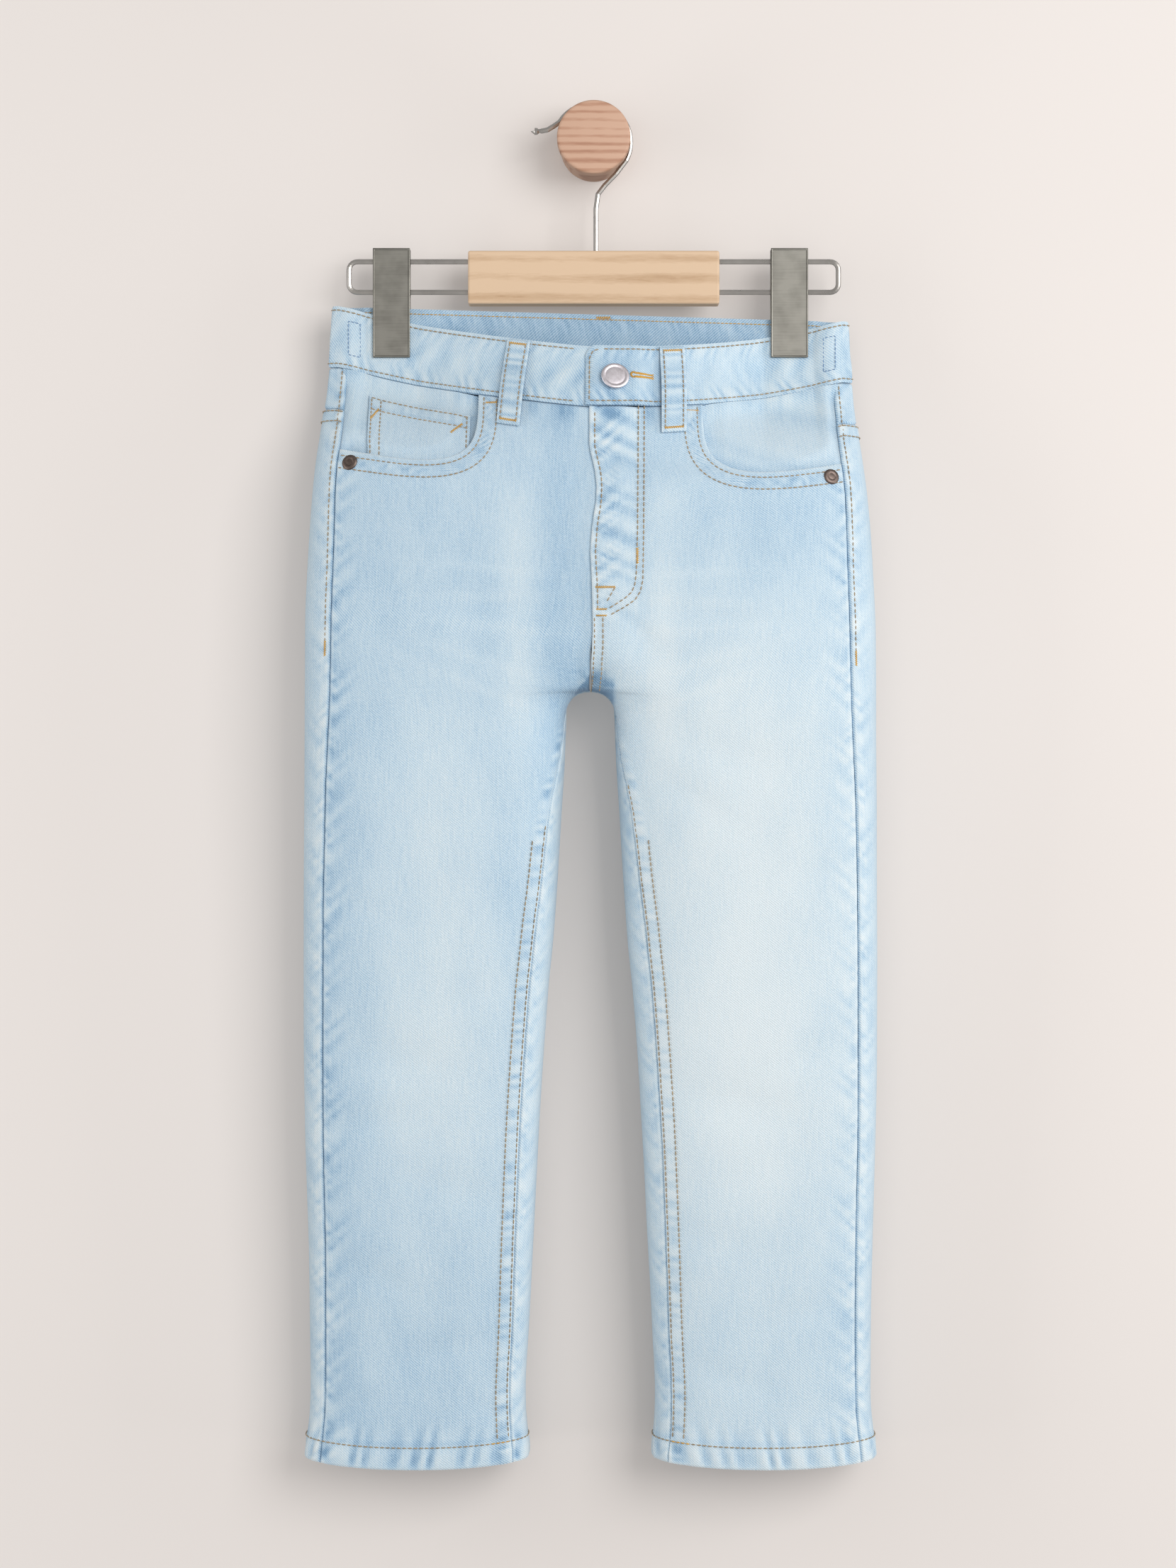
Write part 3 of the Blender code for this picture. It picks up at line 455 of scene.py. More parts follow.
def fly_lap(z):
    """1 where the fly laps, 0 below it."""
    return ease(z, FLY_END_Z, FLY_END_Z + 28)


def facing_sink(x, z, sink):
    """How far the facing lies below the surface: nothing at the side seam, sink by the opening's edge.

    It lies deeper where the panel hides it.
    """
    edge_x = side_seam_x(BAND_Z - POCKET_DEEP)
    away = np.clip((edge_x - x) / (edge_x - POCKET_START_X), 0, 2) ** POCKET_POWER
    away = away + np.clip((BAND_Z - z) / POCKET_DEEP, 0, 2) ** POCKET_POWER
    sunk = sink * np.maximum(ease(away, 0.12, 0.75), ease(edge_x - x, 0.0, 28.0) * 0.75)
    return sunk + FACING_TAIL_SINK * ease(away, 1.0, 1.7)


# Folds too small for the solids: the same soft troughs, and ridges where the depth is negative
FINE_FOLDS = [
    Fold(LEFT, FRONT, 22, -300, -48, 26, 4.5, 0.9),
    Fold(LEFT, FRONT, 30, -330, -30, 30, 4.0, 0.8),
    Fold(LEFT, FRONT, 36, -346, -20, 34, 4.5, -0.6),
    Fold(LEFT, FRONT, 16, -262, -62, 22, 4.0, 0.6),
    Fold(LEFT, FRONT, 12, -222, -70, 16, 3.5, 0.6),
    Fold(LEFT, FRONT, 92, -262, -6, 34, 7.0, 0.5),
    Fold(LEFT, FRONT, 70, -288, 4, 40, 6.0, 0.5),
    Fold(LEFT, FRONT, 128, -304, 12, 26, 7.0, 0.6),
    Fold(LEFT, FRONT, 140, -350, 24, 22, 7.0, 0.6),
    Fold(LEFT, FRONT, 60, -408, -36, 34, 9.0, 0.8),
    Fold(LEFT, FRONT, 136, -470, 18, 24, 9.0, 0.6),
    Fold(LEFT, FRONT, 66, -520, -22, 30, 10.0, 0.7),
    Fold(LEFT, FRONT, 128, -596, -14, 28, 10.0, 0.9),
    Fold(LEFT, FRONT, 76, -640, 16, 34, 11.0, 0.8),
    Fold(LEFT, FRONT, 132, -690, 22, 26, 10.0, 0.8),
    Fold(LEFT, FRONT, 88, -735, -12, 30, 9.0, 0.7),
    Fold(LEFT, FRONT, 62, -772, 30, 16, 6.0, 0.6),
    Fold(LEFT, FRONT, 140, -768, -28, 16, 6.0, 0.6),
    Fold(RIGHT, FRONT, 26, -298, -44, 24, 4.5, 0.8),
    Fold(RIGHT, FRONT, 34, -338, -24, 30, 4.0, 0.8),
    Fold(RIGHT, FRONT, 12, -206, 58, 10, 3.0, 0.6),
    Fold(RIGHT, FRONT, 13, -186, 40, 9, 3.0, 0.5),
    Fold(RIGHT, FRONT, 18, -232, 66, 12, 3.2, 0.5),
    Fold(RIGHT, FRONT, 84, -256, 6, 36, 7.0, 0.5),
    Fold(RIGHT, FRONT, 74, -292, -5, 44, 6.0, 0.6),
    Fold(RIGHT, FRONT, 134, -290, 10, 24, 7.0, 0.7),
    Fold(RIGHT, FRONT, 140, -340, 20, 24, 7.0, 0.6),
    Fold(RIGHT, FRONT, 58, -400, -34, 36, 9.0, 0.8),
    Fold(RIGHT, FRONT, 132, -446, 16, 26, 9.0, 0.7),
    Fold(RIGHT, FRONT, 132, -556, 26, 26, 9.0, 0.9),
    Fold(RIGHT, FRONT, 112, -622, 30, 32, 11.0, 0.9),
    Fold(RIGHT, FRONT, 70, -668, -16, 30, 11.0, 0.7),
    Fold(RIGHT, FRONT, 128, -712, 18, 26, 9.0, 0.8),
    Fold(RIGHT, FRONT, 84, -752, -20, 26, 8.0, 0.6),
    Fold(RIGHT, FRONT, 140, -772, 26, 14, 6.0, 0.6),
    Fold(LEFT, BACK, 40, -330, 36, 34, 6.0, 1.2),
    Fold(LEFT, BACK, 56, -372, 30, 40, 6.0, 1.1),
    Fold(LEFT, BACK, 120, -520, -18, 30, 8.0, 1.0),
    Fold(LEFT, BACK, 72, -580, 14, 34, 7.0, 1.2),
    Fold(LEFT, BACK, 110, -640, 12, 32, 9.0, 0.9),
    Fold(LEFT, BACK, 84, -724, -14, 30, 10.0, 0.8),
    Fold(RIGHT, BACK, 44, -326, 34, 34, 6.0, 1.1),
    Fold(RIGHT, BACK, 60, -376, 28, 42, 6.0, 1.2),
    Fold(RIGHT, BACK, 124, -528, -14, 30, 8.0, 1.0),
    Fold(RIGHT, BACK, 76, -574, 16, 34, 7.0, 1.1),
    Fold(RIGHT, BACK, 108, -646, -12, 32, 9.0, 0.9),
    Fold(RIGHT, BACK, 88, -720, 14, 30, 10.0, 0.8),
]
FOLDS += FINE_FOLDS

# Where the fly's edge lies from the centre, by height
FLY_EDGE = [
    (-144, -0.9), (-170, -0.9), (-186.5, 2.4), (-198, 3.4), (-209, 3.0), (-227, 0.7),
    (-246, -0.4), (-271, 0.7), (-306, 1.2), (-323, 0.3), (-338, 0.0),
]

# Spacing of the shells' columns by a seam, and how far apart their rows and other columns are
EDGE_STEPS = np.array([0.0, 0.35, 0.8, 1.4, 2.1, 3.0, 4.0, 5.2, 6.6, 8.2])
ROW_STEP = 3.4
FRONT_SHELL_COLS = 84
BACK_SHELL_COLS = 104
LEAST_STEP = 0.3
UV_PER_MM = 0.01

# Stands for a distance from a seam that isn't there
NO_SEAM = 60.0

# Where the two rows of stitches lie from the pocket opening
POCKET_ROWS = (3.9, 11.7)

# Start of each piece's own unevenness, by side
FRONT_SEEDS = {RIGHT: 0.4, LEFT: 2.1}
BACK_SEEDS = {RIGHT: 3.3, LEFT: 5.2}
YOKE_SEEDS = {RIGHT: 1.2, LEFT: 4.4}

Grid = namedtuple("Grid", "points normals height start end top bottom")


def pucker(run, wave, seed=0.0):
    """An uneven ripple along a seam, from -1 to 1."""
    turn = 2 * math.pi * run / wave
    bent = turn + 1.4 * np.sin(turn / 2.7 + seed) + 0.7 * np.sin(turn / 1.7 + 2.1 * seed)
    return np.sin(bent) * (0.72 + 0.28 * np.sin(turn / 4.3 + seed))


def near(distance, reach):
    """1 on a line, falling to 0 at about twice reach from it."""
    return np.exp(-((distance / reach) ** 2))


def smooth_noise(u, v, seed=0.0):
    """A soft unevenness of the cloth over tens of millimetres, from about -1 to 1."""
    first = np.sin(u / 17.0 + 1.3 * np.sin(v / 31.0 + seed) + seed)
    second = np.sin(v / 23.0 + 1.1 * np.sin(u / 19.0 + 2 * seed))
    third = np.sin((u + v) / 37.0 + seed) * np.sin((u - 0.6 * v) / 13.0 - seed)
    return (first * second + third) / 2


def refined(rows, step=ROW_STEP):
    """Rows with new ones between, at most step apart in height and closer by the first and last."""
    table = np.array(rows, float)
    drop = np.abs(np.diff(table[:, [1, 3]], axis=0)).max(axis=1)
    run = np.concatenate([[0], np.cumsum(drop)])
    edge = EDGE_STEPS[EDGE_STEPS < run[-1] / 4]
    wanted = [edge, run[-1] - edge]
    for a, b in zip(run, run[1:]):
        wanted.append(np.linspace(a, b, max(1, math.ceil((b - a) / step)), endpoint=False))
    wanted = np.unique(np.round(np.concatenate(wanted), 3))
    keep = np.concatenate([[True], np.diff(wanted) > LEAST_STEP])
    keep[-1] = True
    return picked(table, run, wanted[keep])


def laid(row, count):
    """A row's columns at count places: close together by its ends, where the seams are, and even between."""
    points, normals, heights = row
    run = run_of(points)
    total = run[-1] - SEAM
    middle = np.linspace(EDGE_STEPS[-1], total - EDGE_STEPS[-1], count - 2 * len(EDGE_STEPS) + 2)[1:-1]
    wanted = np.concatenate([EDGE_STEPS, middle, total - EDGE_STEPS[::-1]])
    columns = picked(np.column_stack([points, normals, heights]), run, wanted + SEAM / 2)
    return columns[:, :3], unit(columns[:, 3:6]), columns[:, 6], wanted, total - wanted


def grid_from(rows, count):
    """A Grid from rows of (points, normals, heights)."""
    made = [laid(row, count) for row in rows]
    points, normals, height, start, end = (np.stack([row[i] for row in made]) for i in range(5))
    return measured(points, normals, height, start, end)


def measured(points, normals, height, start=None, end=None):
    """A Grid whose missing distances from its edges are measured along its rows and columns."""
    down, along = np.zeros(points.shape[:2]), np.zeros(points.shape[:2])
    down[1:] = np.cumsum(steps(points), axis=0)
    if start is None:
        along[:, 1:] = np.cumsum(steps(points, 1), axis=1)
        start, end = along, along[:, -1:] - along
    return Grid(points, normals, height, start, end, down, down[-1:] - down)


def edge_round(grid, drop=0.5, reach=0.6):
    """How far the outer face turns in at the rim of a piece."""
    nearest = np.minimum(np.minimum(grid.start, grid.end), np.minimum(grid.top, grid.bottom))
    return -drop * near(nearest, reach)


def shell(node, grid, outer, inner, fade_and_painted_light, inside, material, weave=None):
    """A closed thin wall on a grid, in the place of a solid.

    outer and inner are how far its faces stand off the surface. fade is 1 where the denim is palest, and
    holds painted shade and painted light as well as the wash; the inner face has inside times as much. weave
    runs across the cloth and places its twill.
    """
    shape = grid.points.shape[:2]
    faces = [grid.points + grid.normals * np.broadcast_to(off, shape)[..., None] for off in (outer, inner)]
    ids = np.arange(shape[0] * shape[1]).reshape(shape)
    a, b, d, e = (part.ravel() for part in (ids[:-1, :-1], ids[:-1, 1:], ids[1:, :-1], ids[1:, 1:]))
    ring = np.concatenate([ids[0, :], ids[1:, -1], ids[-1, -2::-1], ids[-2:0:-1, 0]])
    after = np.roll(ring, -1)
    quads = np.concatenate([
        np.stack([a, b, e, d], axis=1),
        np.stack([a, d, e, b], axis=1) + ids.size,
        np.stack([after, ring, ring + ids.size, after + ids.size], axis=1),
    ])
    verts = np.concatenate([face.reshape(-1, 3) for face in faces]) * MM
    mesh = bpy.data.meshes.new(f"{node}_cloth")
    mesh.from_pydata(verts.tolist(), [], quads.tolist())
    across = grid.start if weave is None else weave
    uv = np.stack([across * rightward(grid), -grid.height], axis=-1).reshape(-1, 2) * UV_PER_MM
    fade_and_painted_light = np.broadcast_to(fade_and_painted_light, shape).ravel()
    paint(mesh, np.concatenate([uv, uv]), np.concatenate([fade_and_painted_light, fade_and_painted_light * inside]))
    outwards(mesh)
    smooth_by_angle(mesh, 62)
    obj = placed(mesh.name, mesh, material)
    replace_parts(obj, node)


def rightward(grid):
    """1 where a grid's columns run to the right as its face is looked at, -1 where they run to the left."""
    row, col = grid.points.shape[0] // 2, grid.points.shape[1] // 2
    step = grid.points[row, col + 1] - grid.points[row, col]
    return float(np.sign(step @ np.cross((0, 0, 1), grid.normals[row, col])))


def smooth_by_angle(mesh, degrees):
    mesh.shade_smooth()
    mesh.set_sharp_from_angle(angle=math.radians(degrees))


def paint(mesh, uv, fade_and_painted_light):
    """Gives a mesh its cloth coordinates and its paleness, which holds its wash and its painted shade and
    light.
    """
    corner = np.zeros(len(mesh.loops), int)
    mesh.loops.foreach_get("vertex_index", corner)
    layer = mesh.uv_layers.new(name="Cloth")
    layer.data.foreach_set("uv", uv[corner].ravel().astype(np.float32))
    values = mesh.attributes.new("fade_and_painted_light", "FLOAT", "POINT")
    values.data.foreach_set("value", np.clip(fade_and_painted_light, 0, 1).astype(np.float32))


def outwards(mesh):
    work = bmesh.new()
    work.from_mesh(mesh)
    if work.calc_volume(signed=True) < 0:
        bmesh.ops.reverse_faces(work, faces=work.faces[:])
        work.to_mesh(mesh)
    work.free()


def placed(name, mesh, material):
    """A piece of the model, in its collection, on its body and with its finish."""
    obj = bpy.data.objects.new(name, mesh)
    bpy.context.scene.collection.objects.link(obj)
    mesh.materials.append(material)
    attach(obj, "root")
    return obj


def front_line(side, inner_x, inner_z, outer_x, outer_z, fan):
    """A row of a front panel as (points, normals, heights)."""
    start, end = across_of(inner_x, inner_z), across_of(outer_x, outer_z)
    across = spaced(start, end, 3.0)
    z = outer_z + (inner_z - outer_z) * np.clip((end - across) / (end - start), 0, 1) ** fan
    return *surface(side, across, z, np.full(SAMPLES, FRONT)), z


def back_line(side, inner_z, outer_z, fan):
    """A row of a back panel or yoke, from the side seam round the outer edge to the centre or the inseam."""
    wrap = spaced(across_of(side_seam_x(outer_z), outer_z), 1.0, 1.0, 3.0)
    end = -1.0 if inner_z <= CROTCH_Z else across_of(0.0, inner_z)
    across = spaced(1.0, end, 3.0, 3.0)
    z = outer_z + (inner_z - outer_z) * np.clip((1 - across) / (1 - end), 0, 1) ** fan
    parts = [
        (wrap, np.full(SAMPLES, outer_z), np.full(SAMPLES, FRONT)),
        (across[1:], z[1:], np.full(SAMPLES - 1, BACK)),
    ]
    inseam = across_of(inseam_x(inner_z), inner_z)
    if inner_z < CROTCH_Z - ARCH_TALL and inseam > -1:
        tail = spaced(-1.0, inseam, 3.0)[1:]
        parts.append((tail, np.full(len(tail), inner_z), np.full(len(tail), FRONT)))
    across, heights, faces = (np.concatenate([part[i] for part in parts]) for i in range(3))
    return *surface(side, across, heights, faces), heights


def from_edge(x, z, edge):
    """Distance from each place to a line of (x, z) points."""
    best = np.full(np.shape(x), 1e9)
    for (ax, az), (bx, bz) in zip(edge, edge[1:]):
        length = (bx - ax) ** 2 + (bz - az) ** 2
        share = np.clip(((x - ax) * (bx - ax) + (z - az) * (bz - az)) / length, 0, 1)
        best = np.minimum(best, np.hypot(x - ax - share * (bx - ax), z - az - share * (bz - az)))
    return best


def fly_edge_x(z):
    heights, places = zip(*FLY_EDGE)
    return float(np.interp(z, heights[::-1], places[::-1]))


def fly_raise(x, z):
    """How far the right front stands off where it laps over the fly."""
    return FLY_RAISE * (1 - ease(x, FLY_RAISE_FROM, FLY_RAISE_TO)) * ease(z, FLY_END_Z - 14, FLY_END_Z)


def front_rows(side):
    """The rows of a front panel, as (inner x, inner z, outer x, outer z, fan)."""
    half, rows = SEAM / 2, []

    def start_x(z):
        return fly_edge_x(z) if side == RIGHT else -FLY_LAP * float(fly_lap(z))

    for k, (x, z) in enumerate(pocket_edge(POCKET_SHELL_ROWS)):
        inner_z = BAND_Z - half + (FAN_INNER_Z - BAND_Z) * k / (POCKET_SHELL_ROWS - 1)
        rows.append((start_x(inner_z), inner_z, x, z - half if k == 0 else z, 1.0))
    for share in (1, 2, 3):
        inner_z = FAN_INNER_Z + (CROTCH_ROWS[0].inner - FAN_INNER_Z) * share / 4
        outer_z = BAND_Z - POCKET_DEEP + (CROTCH_ROWS[0].outer - BAND_Z + POCKET_DEEP) * share / 4
        rows.append((start_x(inner_z), inner_z, side_seam_x(outer_z), outer_z, 1.0))
    for row in CROTCH_ROWS:
        inner_x = start_x(row.inner) if row.inner > CROTCH_Z else inseam_x(row.inner)
        rows.append((inner_x, row.inner, side_seam_x(row.outer), row.outer, 2.0))
    return rows + [(inseam_x(z), z, side_seam_x(z), z, 1.0) for z in LEG_ROWS + HEM_ROWS]


POCKET_SHELL_ROWS = 22
HEM_TOP_Z = HEM_Z + HEM_TALL


def hem_form(grid, seed):
    """(lift, fade) of the hem: a thicker turned edge, roped into slanting puckers about its stitches."""
    z = grid.height
    on_hem = ease(z, HEM_TOP_Z + 0.3, HEM_TOP_Z - 0.5)
    run = grid.start + 0.25 * (z - HEM_Z)
    rope = pucker(run, 13.0, seed)
    rope = np.sign(rope) * np.abs(rope) ** 0.7
    body = near(z - (HEM_Z + 6.0), 6.5)
    above = near(z - (HEM_TOP_Z + 4.0), 5.0) * 0.5
    stitched = -0.25 * near(z - (HEM_TOP_Z - 1.8), 1.1)
    lift = HEM_PROUD * on_hem + 0.75 * rope * body + 0.9 * rope * above + stitched * on_hem
    fade_and_painted_light = 0.30 * rope * (body + above) + 0.16 * near(z - HEM_Z, 1.6) - 0.16 * near(z - HEM_TOP_Z - 0.6, 1.6)
    return lift, fade_and_painted_light


# How much paler each front leg is painted: painted light from the key lamp on the right, the left leg a
# little bluer
LEG_PAINTED_LIGHT = {RIGHT: 0.20, LEFT: -0.05}


def leg_fade(x, z, face):
    """Wash of a leg: palest down the middle of the thigh, bluer at the sides and below the knee."""
    thigh = near(x - 88, 44) * ease(z, -250, -400) * ease(z, -760, -520)
    knee = near(x - 100, 40) * near(z + 560, 95)
    shin = near(x - 92, 36) * ease(z, -560, -700)
    whisker = sum(
        near(z - at_z - slope * (x - 60), 3.4) * near(x - 62, 40)
        for at_z, slope in ((-262, 0.05), (-281, -0.04), (-300, 0.10), (-322, 0.30), (-340, 0.36))
    )
    front = 0.50 + 0.20 * thigh + 0.12 * knee + 0.07 * whisker
    back = 0.57 + 0.12 * near(x - 80, 46) * ease(z, -150, -300)
    return np.where(face == FRONT, front, back)


def settle(grid, values, height, reach):
    """Smooths values down a grid's columns near a height, away from its inner edge."""
    weight = near(grid.height - height, reach) * ease(grid.start, 3, 9)
    for _ in range(60):
        middle = (values[:-2] + 2 * values[1:-1] + values[2:]) / 4
        values[1:-1] += weight[1:-1] * (middle - values[1:-1])


def painted_crotch_shade(x, z, side):
    """1 on the small piece of cloth where the seams meet at the crotch, which is painted darker as shade."""
    above = z - CROTCH_Z
    if side == LEFT:
        return ease(above, 9.5 - 1.1 * x, 8.0 - 1.1 * x) * ease(x, 9.5, 8.0)
    rungs = 0.85 + 0.15 * pucker(z + 0.3 * x, 5.2, 0.6) - 0.35 * near(above - 3.2 + 0.15 * x, 0.8)
    return rungs * ease(above, 19.0 - 0.7 * x, 5.0 - 0.1 * x) * ease(x, 16.0, 12.5) * ease(above, -10, -5)


def seam_marks(run, distance, seed):
    """(lift, fade) beside a plain seam: a narrow valley with a thin darker line painted in it as shade, and
    puckers that die away from it.
    """
    rope = pucker(run + 0.7 * distance, 11.0, seed)
    blotch = pucker(run - 0.8 * distance, 15.0, seed + 2)
    lift = -0.60 * near(distance, 0.75) + 0.20 * rope * near(distance - 3, 3.5)
    fade_and_painted_light = 0.22 * rope * near(distance - 2.8, 3.5) + 0.14 * blotch * near(distance - 7, 8)
    # The paleness drops in a thin line right at the seam: painted shade in its valley
    return lift, fade_and_painted_light - 0.26 * near(distance, 0.7) + 0.12 * near(distance - 1.7, 0.8)


def inseam_marks(grid, seed):
    """(lift, fade) of the felled seam down a leg's inner side, with a ladder of small puckers."""
    z, inner = grid.height, np.where(grid.height < CROTCH_Z, grid.start, NO_SEAM)
    below_crotch = ease(z, CROTCH_Z - 4, CROTCH_Z - 40)
    rope = pucker(z, 6.6, seed)
    felled = ease(inner, 9.5, 8.0) * below_crotch
    lift = felled * (0.45 + 0.22 * rope - 0.3 * near(inner - 8.0, 0.8)) - 0.25 * near(inner - 1.3, 0.7)
    fade_and_painted_light = felled * 0.30 * rope * near(inner - 5.0, 3.4) + 0.16 * near(inner - 0.7, 0.9) * below_crotch
    return lift, fade_and_painted_light


def pocket_marks(x, z, seed):
    """(lift, fade) of the hem along the pocket opening, with its two rows of stitches."""
    opening = from_edge(x, z, pocket_edge(60))
    rope = pucker(0.9 * x - 0.9 * z, 7.5, seed + 1)
    lift = 0.30 * ease(opening, 13.0, 11.5) - 0.55 * near(opening, 0.5)
    for row, deep in zip(POCKET_ROWS, (0.28, 0.22)):
        lift = lift - deep * near(opening - row, 0.8)
    inside = opening - 7.5
    fade_and_painted_light = 0.22 * near(opening, 1.2) - 0.06 * near(inside, 4.5) + 0.24 * rope * near(inside, 3.6)
    return np.where(opening < 30, (lift, fade_and_painted_light), 0)


def band_marks(grid, x, seed):
    """(lift, fade) of a front by the band: a line along it, and soft puckers below."""
    below = near(grid.top - 4, 8.0) * (grid.height > BAND_Z - 26)
    lift = -0.35 * near(grid.top, 0.9) * (grid.height > BAND_Z - 12)
    return lift, below * (0.20 * pucker(x, 19.0, seed) - 0.10)


def crotch_marks(x, z, side):
    """(lift, fade) where the seams meet: rungs between the stitches, the piece below them painted darker as
    shade, and a soft painted shade round the crotch.
    """
    rungs = pucker(z, 6.0, 1.3) * near(x - 4, 6) * ease(z, FLY_END_Z, FLY_END_Z - 10) * (z > CROTCH_Z - 12)
    # bluer is painted shade: a soft darkening round the place where the legs part
    bluer = near(x - 2, 12) * near(z - CROTCH_Z - 4, 13)
    shaded = painted_crotch_shade(x, z, side)
    # The piece below the stitches is painted darker as shade, and sinks a little
    return -0.6 * shaded, 0.26 * rungs - 0.14 * bluer - 0.60 * shaded


def front_wash(x, z, side, seed):
    """(lift, fade) of a front's soft unevenness and its wash, with painted light: a paler right leg, and a
    pale band beside the fly painted as a highlight along a fold.
    """
    # The right leg is painted paler and the left a little bluer: painted light, as the key light from the
    # right falls on them
    paler = LEG_PAINTED_LIGHT[side] * ease(z, -220, -370) * (1 - 0.4 * ease(z, -600, -700))
    # A pale band beside the fly is a painted highlight along a fold. Lower down, a bluer strip by the leg's
    # inner edge is taken off it
    fold_highlight = 0.16 * near(x - 42, 11) * ease(z, -185, -215) * ease(z, -420, -330)
    fold_highlight = (fold_highlight - 0.12 * near(x - 20, 11) * ease(z, -400, -340)) * (x > (30 if side == RIGHT else 0))
    fade_and_painted_light = leg_fade(x, z, FRONT) + paler + fold_highlight - 0.04 * ease(x, 120, 160)
    return 0.22 * smooth_noise(x, z, seed), fade_and_painted_light + 0.05 * smooth_noise(x * 2, z, seed)


def yoke_marks(grid, seed):
    """(lift, fade) of the felled seam at a back's top, where the yoke is sewn on."""
    rope = pucker(grid.start, 9.0, seed)
    felled = ease(grid.top, 9.5, 8.2)
    lift = felled * (0.35 + 0.15 * rope) - 0.25 * near(grid.top - 1.6, 0.8) - 0.5 * near(grid.top, 0.8)
    return lift, 0.12 * rope * felled


def back_wash(grid, x, seed):
    """(lift, fade) of a back's soft unevenness and its wash, paler where it comes round to the front."""
    face = np.where(grid.normals[..., 1] < 0, FRONT, BACK)
    fade_and_painted_light = leg_fade(x, grid.height, face) + 0.09 * (face == FRONT) - 0.03 * near(grid.start - 9, 8)
    fade_and_painted_light = fade_and_painted_light + 0.10 * near(grid.start - 4.5, 2.2) + 0.05 * smooth_noise(x * 2, grid.height, seed)
    return 0.22 * smooth_noise(x, grid.height, seed), fade_and_painted_light


def summed(marks):
    """(lift, fade) of several marks together."""
    return (sum(values) for values in zip(*marks))


def front_shell(name, side, material):
    grid = grid_from([front_line(side, *row) for row in refined(front_rows(side))], FRONT_SHELL_COLS)
    weave = grid.start + weave_shift(grid, np.abs(grid.points[..., 0] - CENTRE_X))
    for values in (grid.points[..., 0], grid.points[..., 1], weave):
        settle(grid, values, CROTCH_Z, 18)
    x, z, seed = np.abs(grid.points[..., 0] - CENTRE_X), grid.height, FRONT_SEEDS[side]
    marks = [
        seam_marks(z, np.where(z < BAND_Z - POCKET_DEEP, grid.end, NO_SEAM), seed),
        inseam_marks(grid, seed),
        pocket_marks(x, z, seed),
        hem_form(grid, seed),
        band_marks(grid, x, seed),
        crotch_marks(x, z, side),
        front_wash(x, z, side, seed),
    ]
    raised = 0.0
    if side == RIGHT:
        marks.append(fly_marks(x, z, grid))
        raised = fly_raise(x, z)
    lift, fade_and_painted_light = summed(marks)
    behind = raised - np.where(z < HEM_TOP_Z, HEM_INNER, CLOTH)
    shell(name, grid, raised + lift + edge_round(grid), behind, fade_and_painted_light, 0.35, material, weave=weave)


def weave_shift(grid, x):
    """How far each row's weave is moved below the crotch, so that it runs on unbroken down the side seam."""
    total, outer = grid.start[:, -1], x[:, -1]
    above = grid.height[:, 0] > CROTCH_Z + 0.5
    last = np.flatnonzero(above)[-1]
    return np.where(above, 0.0, total[last] - total + outer - outer[last])[:, None]


def fly_marks(x, z, grid):
    """(lift, fade) of the fly: its rolled edge, and puckers between its edge and the curved stitching."""
    on_fly, on_edge = ease(x, 30, 27) * ease(z, -296, -288), z > FLY_END_Z - 30
    rope, wide = pucker(z - 0.9 * x, 10.5, 0.9) * near(x - 9, 9), pucker(z + 0.5 * x, 17.0, 2.2)
    lift = on_fly * (0.34 * rope + 0.40 * wide * near(x - 14, 10) - 0.25 * near(x - 28, 1.0))
    fade_and_painted_light = on_fly * (0.26 * rope + 0.20 * wide)
    return lift + 0.5 * near(grid.start - 1.2, 1.0) * on_edge, fade_and_painted_light + 0.30 * near(grid.start, 1.6) * on_edge


def back_shell(name, side, material):
    half, count, rows = SEAM / 2, 6, []
    for k in range(count):
        share = k / count
        inner_z = YOKE_CENTRE_Z - half + (CROTCH_ROWS[0].inner - YOKE_CENTRE_Z) * share
        outer_z = YOKE_SIDE_Z - half + (CROTCH_ROWS[0].outer - YOKE_SIDE_Z) * share
        rows.append((0, inner_z, 0, outer_z, 1.0))
    rows += [(0, row.inner, 0, row.outer, 2.0) for row in CROTCH_ROWS]
    rows += [(0, z, 0, z, 1.0) for z in LEG_ROWS + HEM_ROWS]
    lines = [back_line(side, inner_z, outer_z, fan) for _, inner_z, _, outer_z, fan in refined(rows)]
    grid = grid_from(lines, BACK_SHELL_COLS)
    x, z, seed = np.abs(grid.points[..., 0] - CENTRE_X), grid.height, BACK_SEEDS[side]
    lift, fade_and_painted_light = summed([
        seam_marks(z, grid.start, seed),
        seam_marks(z, grid.end, seed + 1),
        yoke_marks(grid, seed),
        hem_form(grid, seed),
        back_wash(grid, x, seed),
    ])
    behind = -np.where(z < HEM_TOP_Z, HEM_INNER, CLOTH)
    shell(name, grid, lift + edge_round(grid), behind, fade_and_painted_light, 0.35, material)


def yoke_shell(name, side, material):
    top = BAND_Z - SEAM / 2
    rows = [(0, top, 0, top, 1.0), (0, YOKE_CENTRE_Z + SEAM / 2, 0, YOKE_SIDE_Z + SEAM / 2, 1.0)]
    grid = grid_from([back_line(side, row[1], row[3], 1.0) for row in refined(rows, 2.6)], BACK_SHELL_COLS)
    x, z, seed = np.abs(grid.points[..., 0] - CENTRE_X), grid.height, YOKE_SEEDS[side]
    side_lift, side_fade = seam_marks(z, grid.start, seed)
    rope = pucker(grid.start, 10.0, seed) * near(grid.top, 7)
    lift = side_lift - 0.5 * near(grid.bottom, 0.9) - 0.4 * near(grid.top, 0.9) + edge_round(grid)
    lift = lift + 0.18 * rope + 0.2 * smooth_noise(x, z, seed)
    fade_and_painted_light = 0.50 + side_fade + 0.12 * rope - 0.14 * near(grid.bottom, 1.4)
    shell(name, grid, lift, -CLOTH, fade_and_painted_light, 0.4, material)


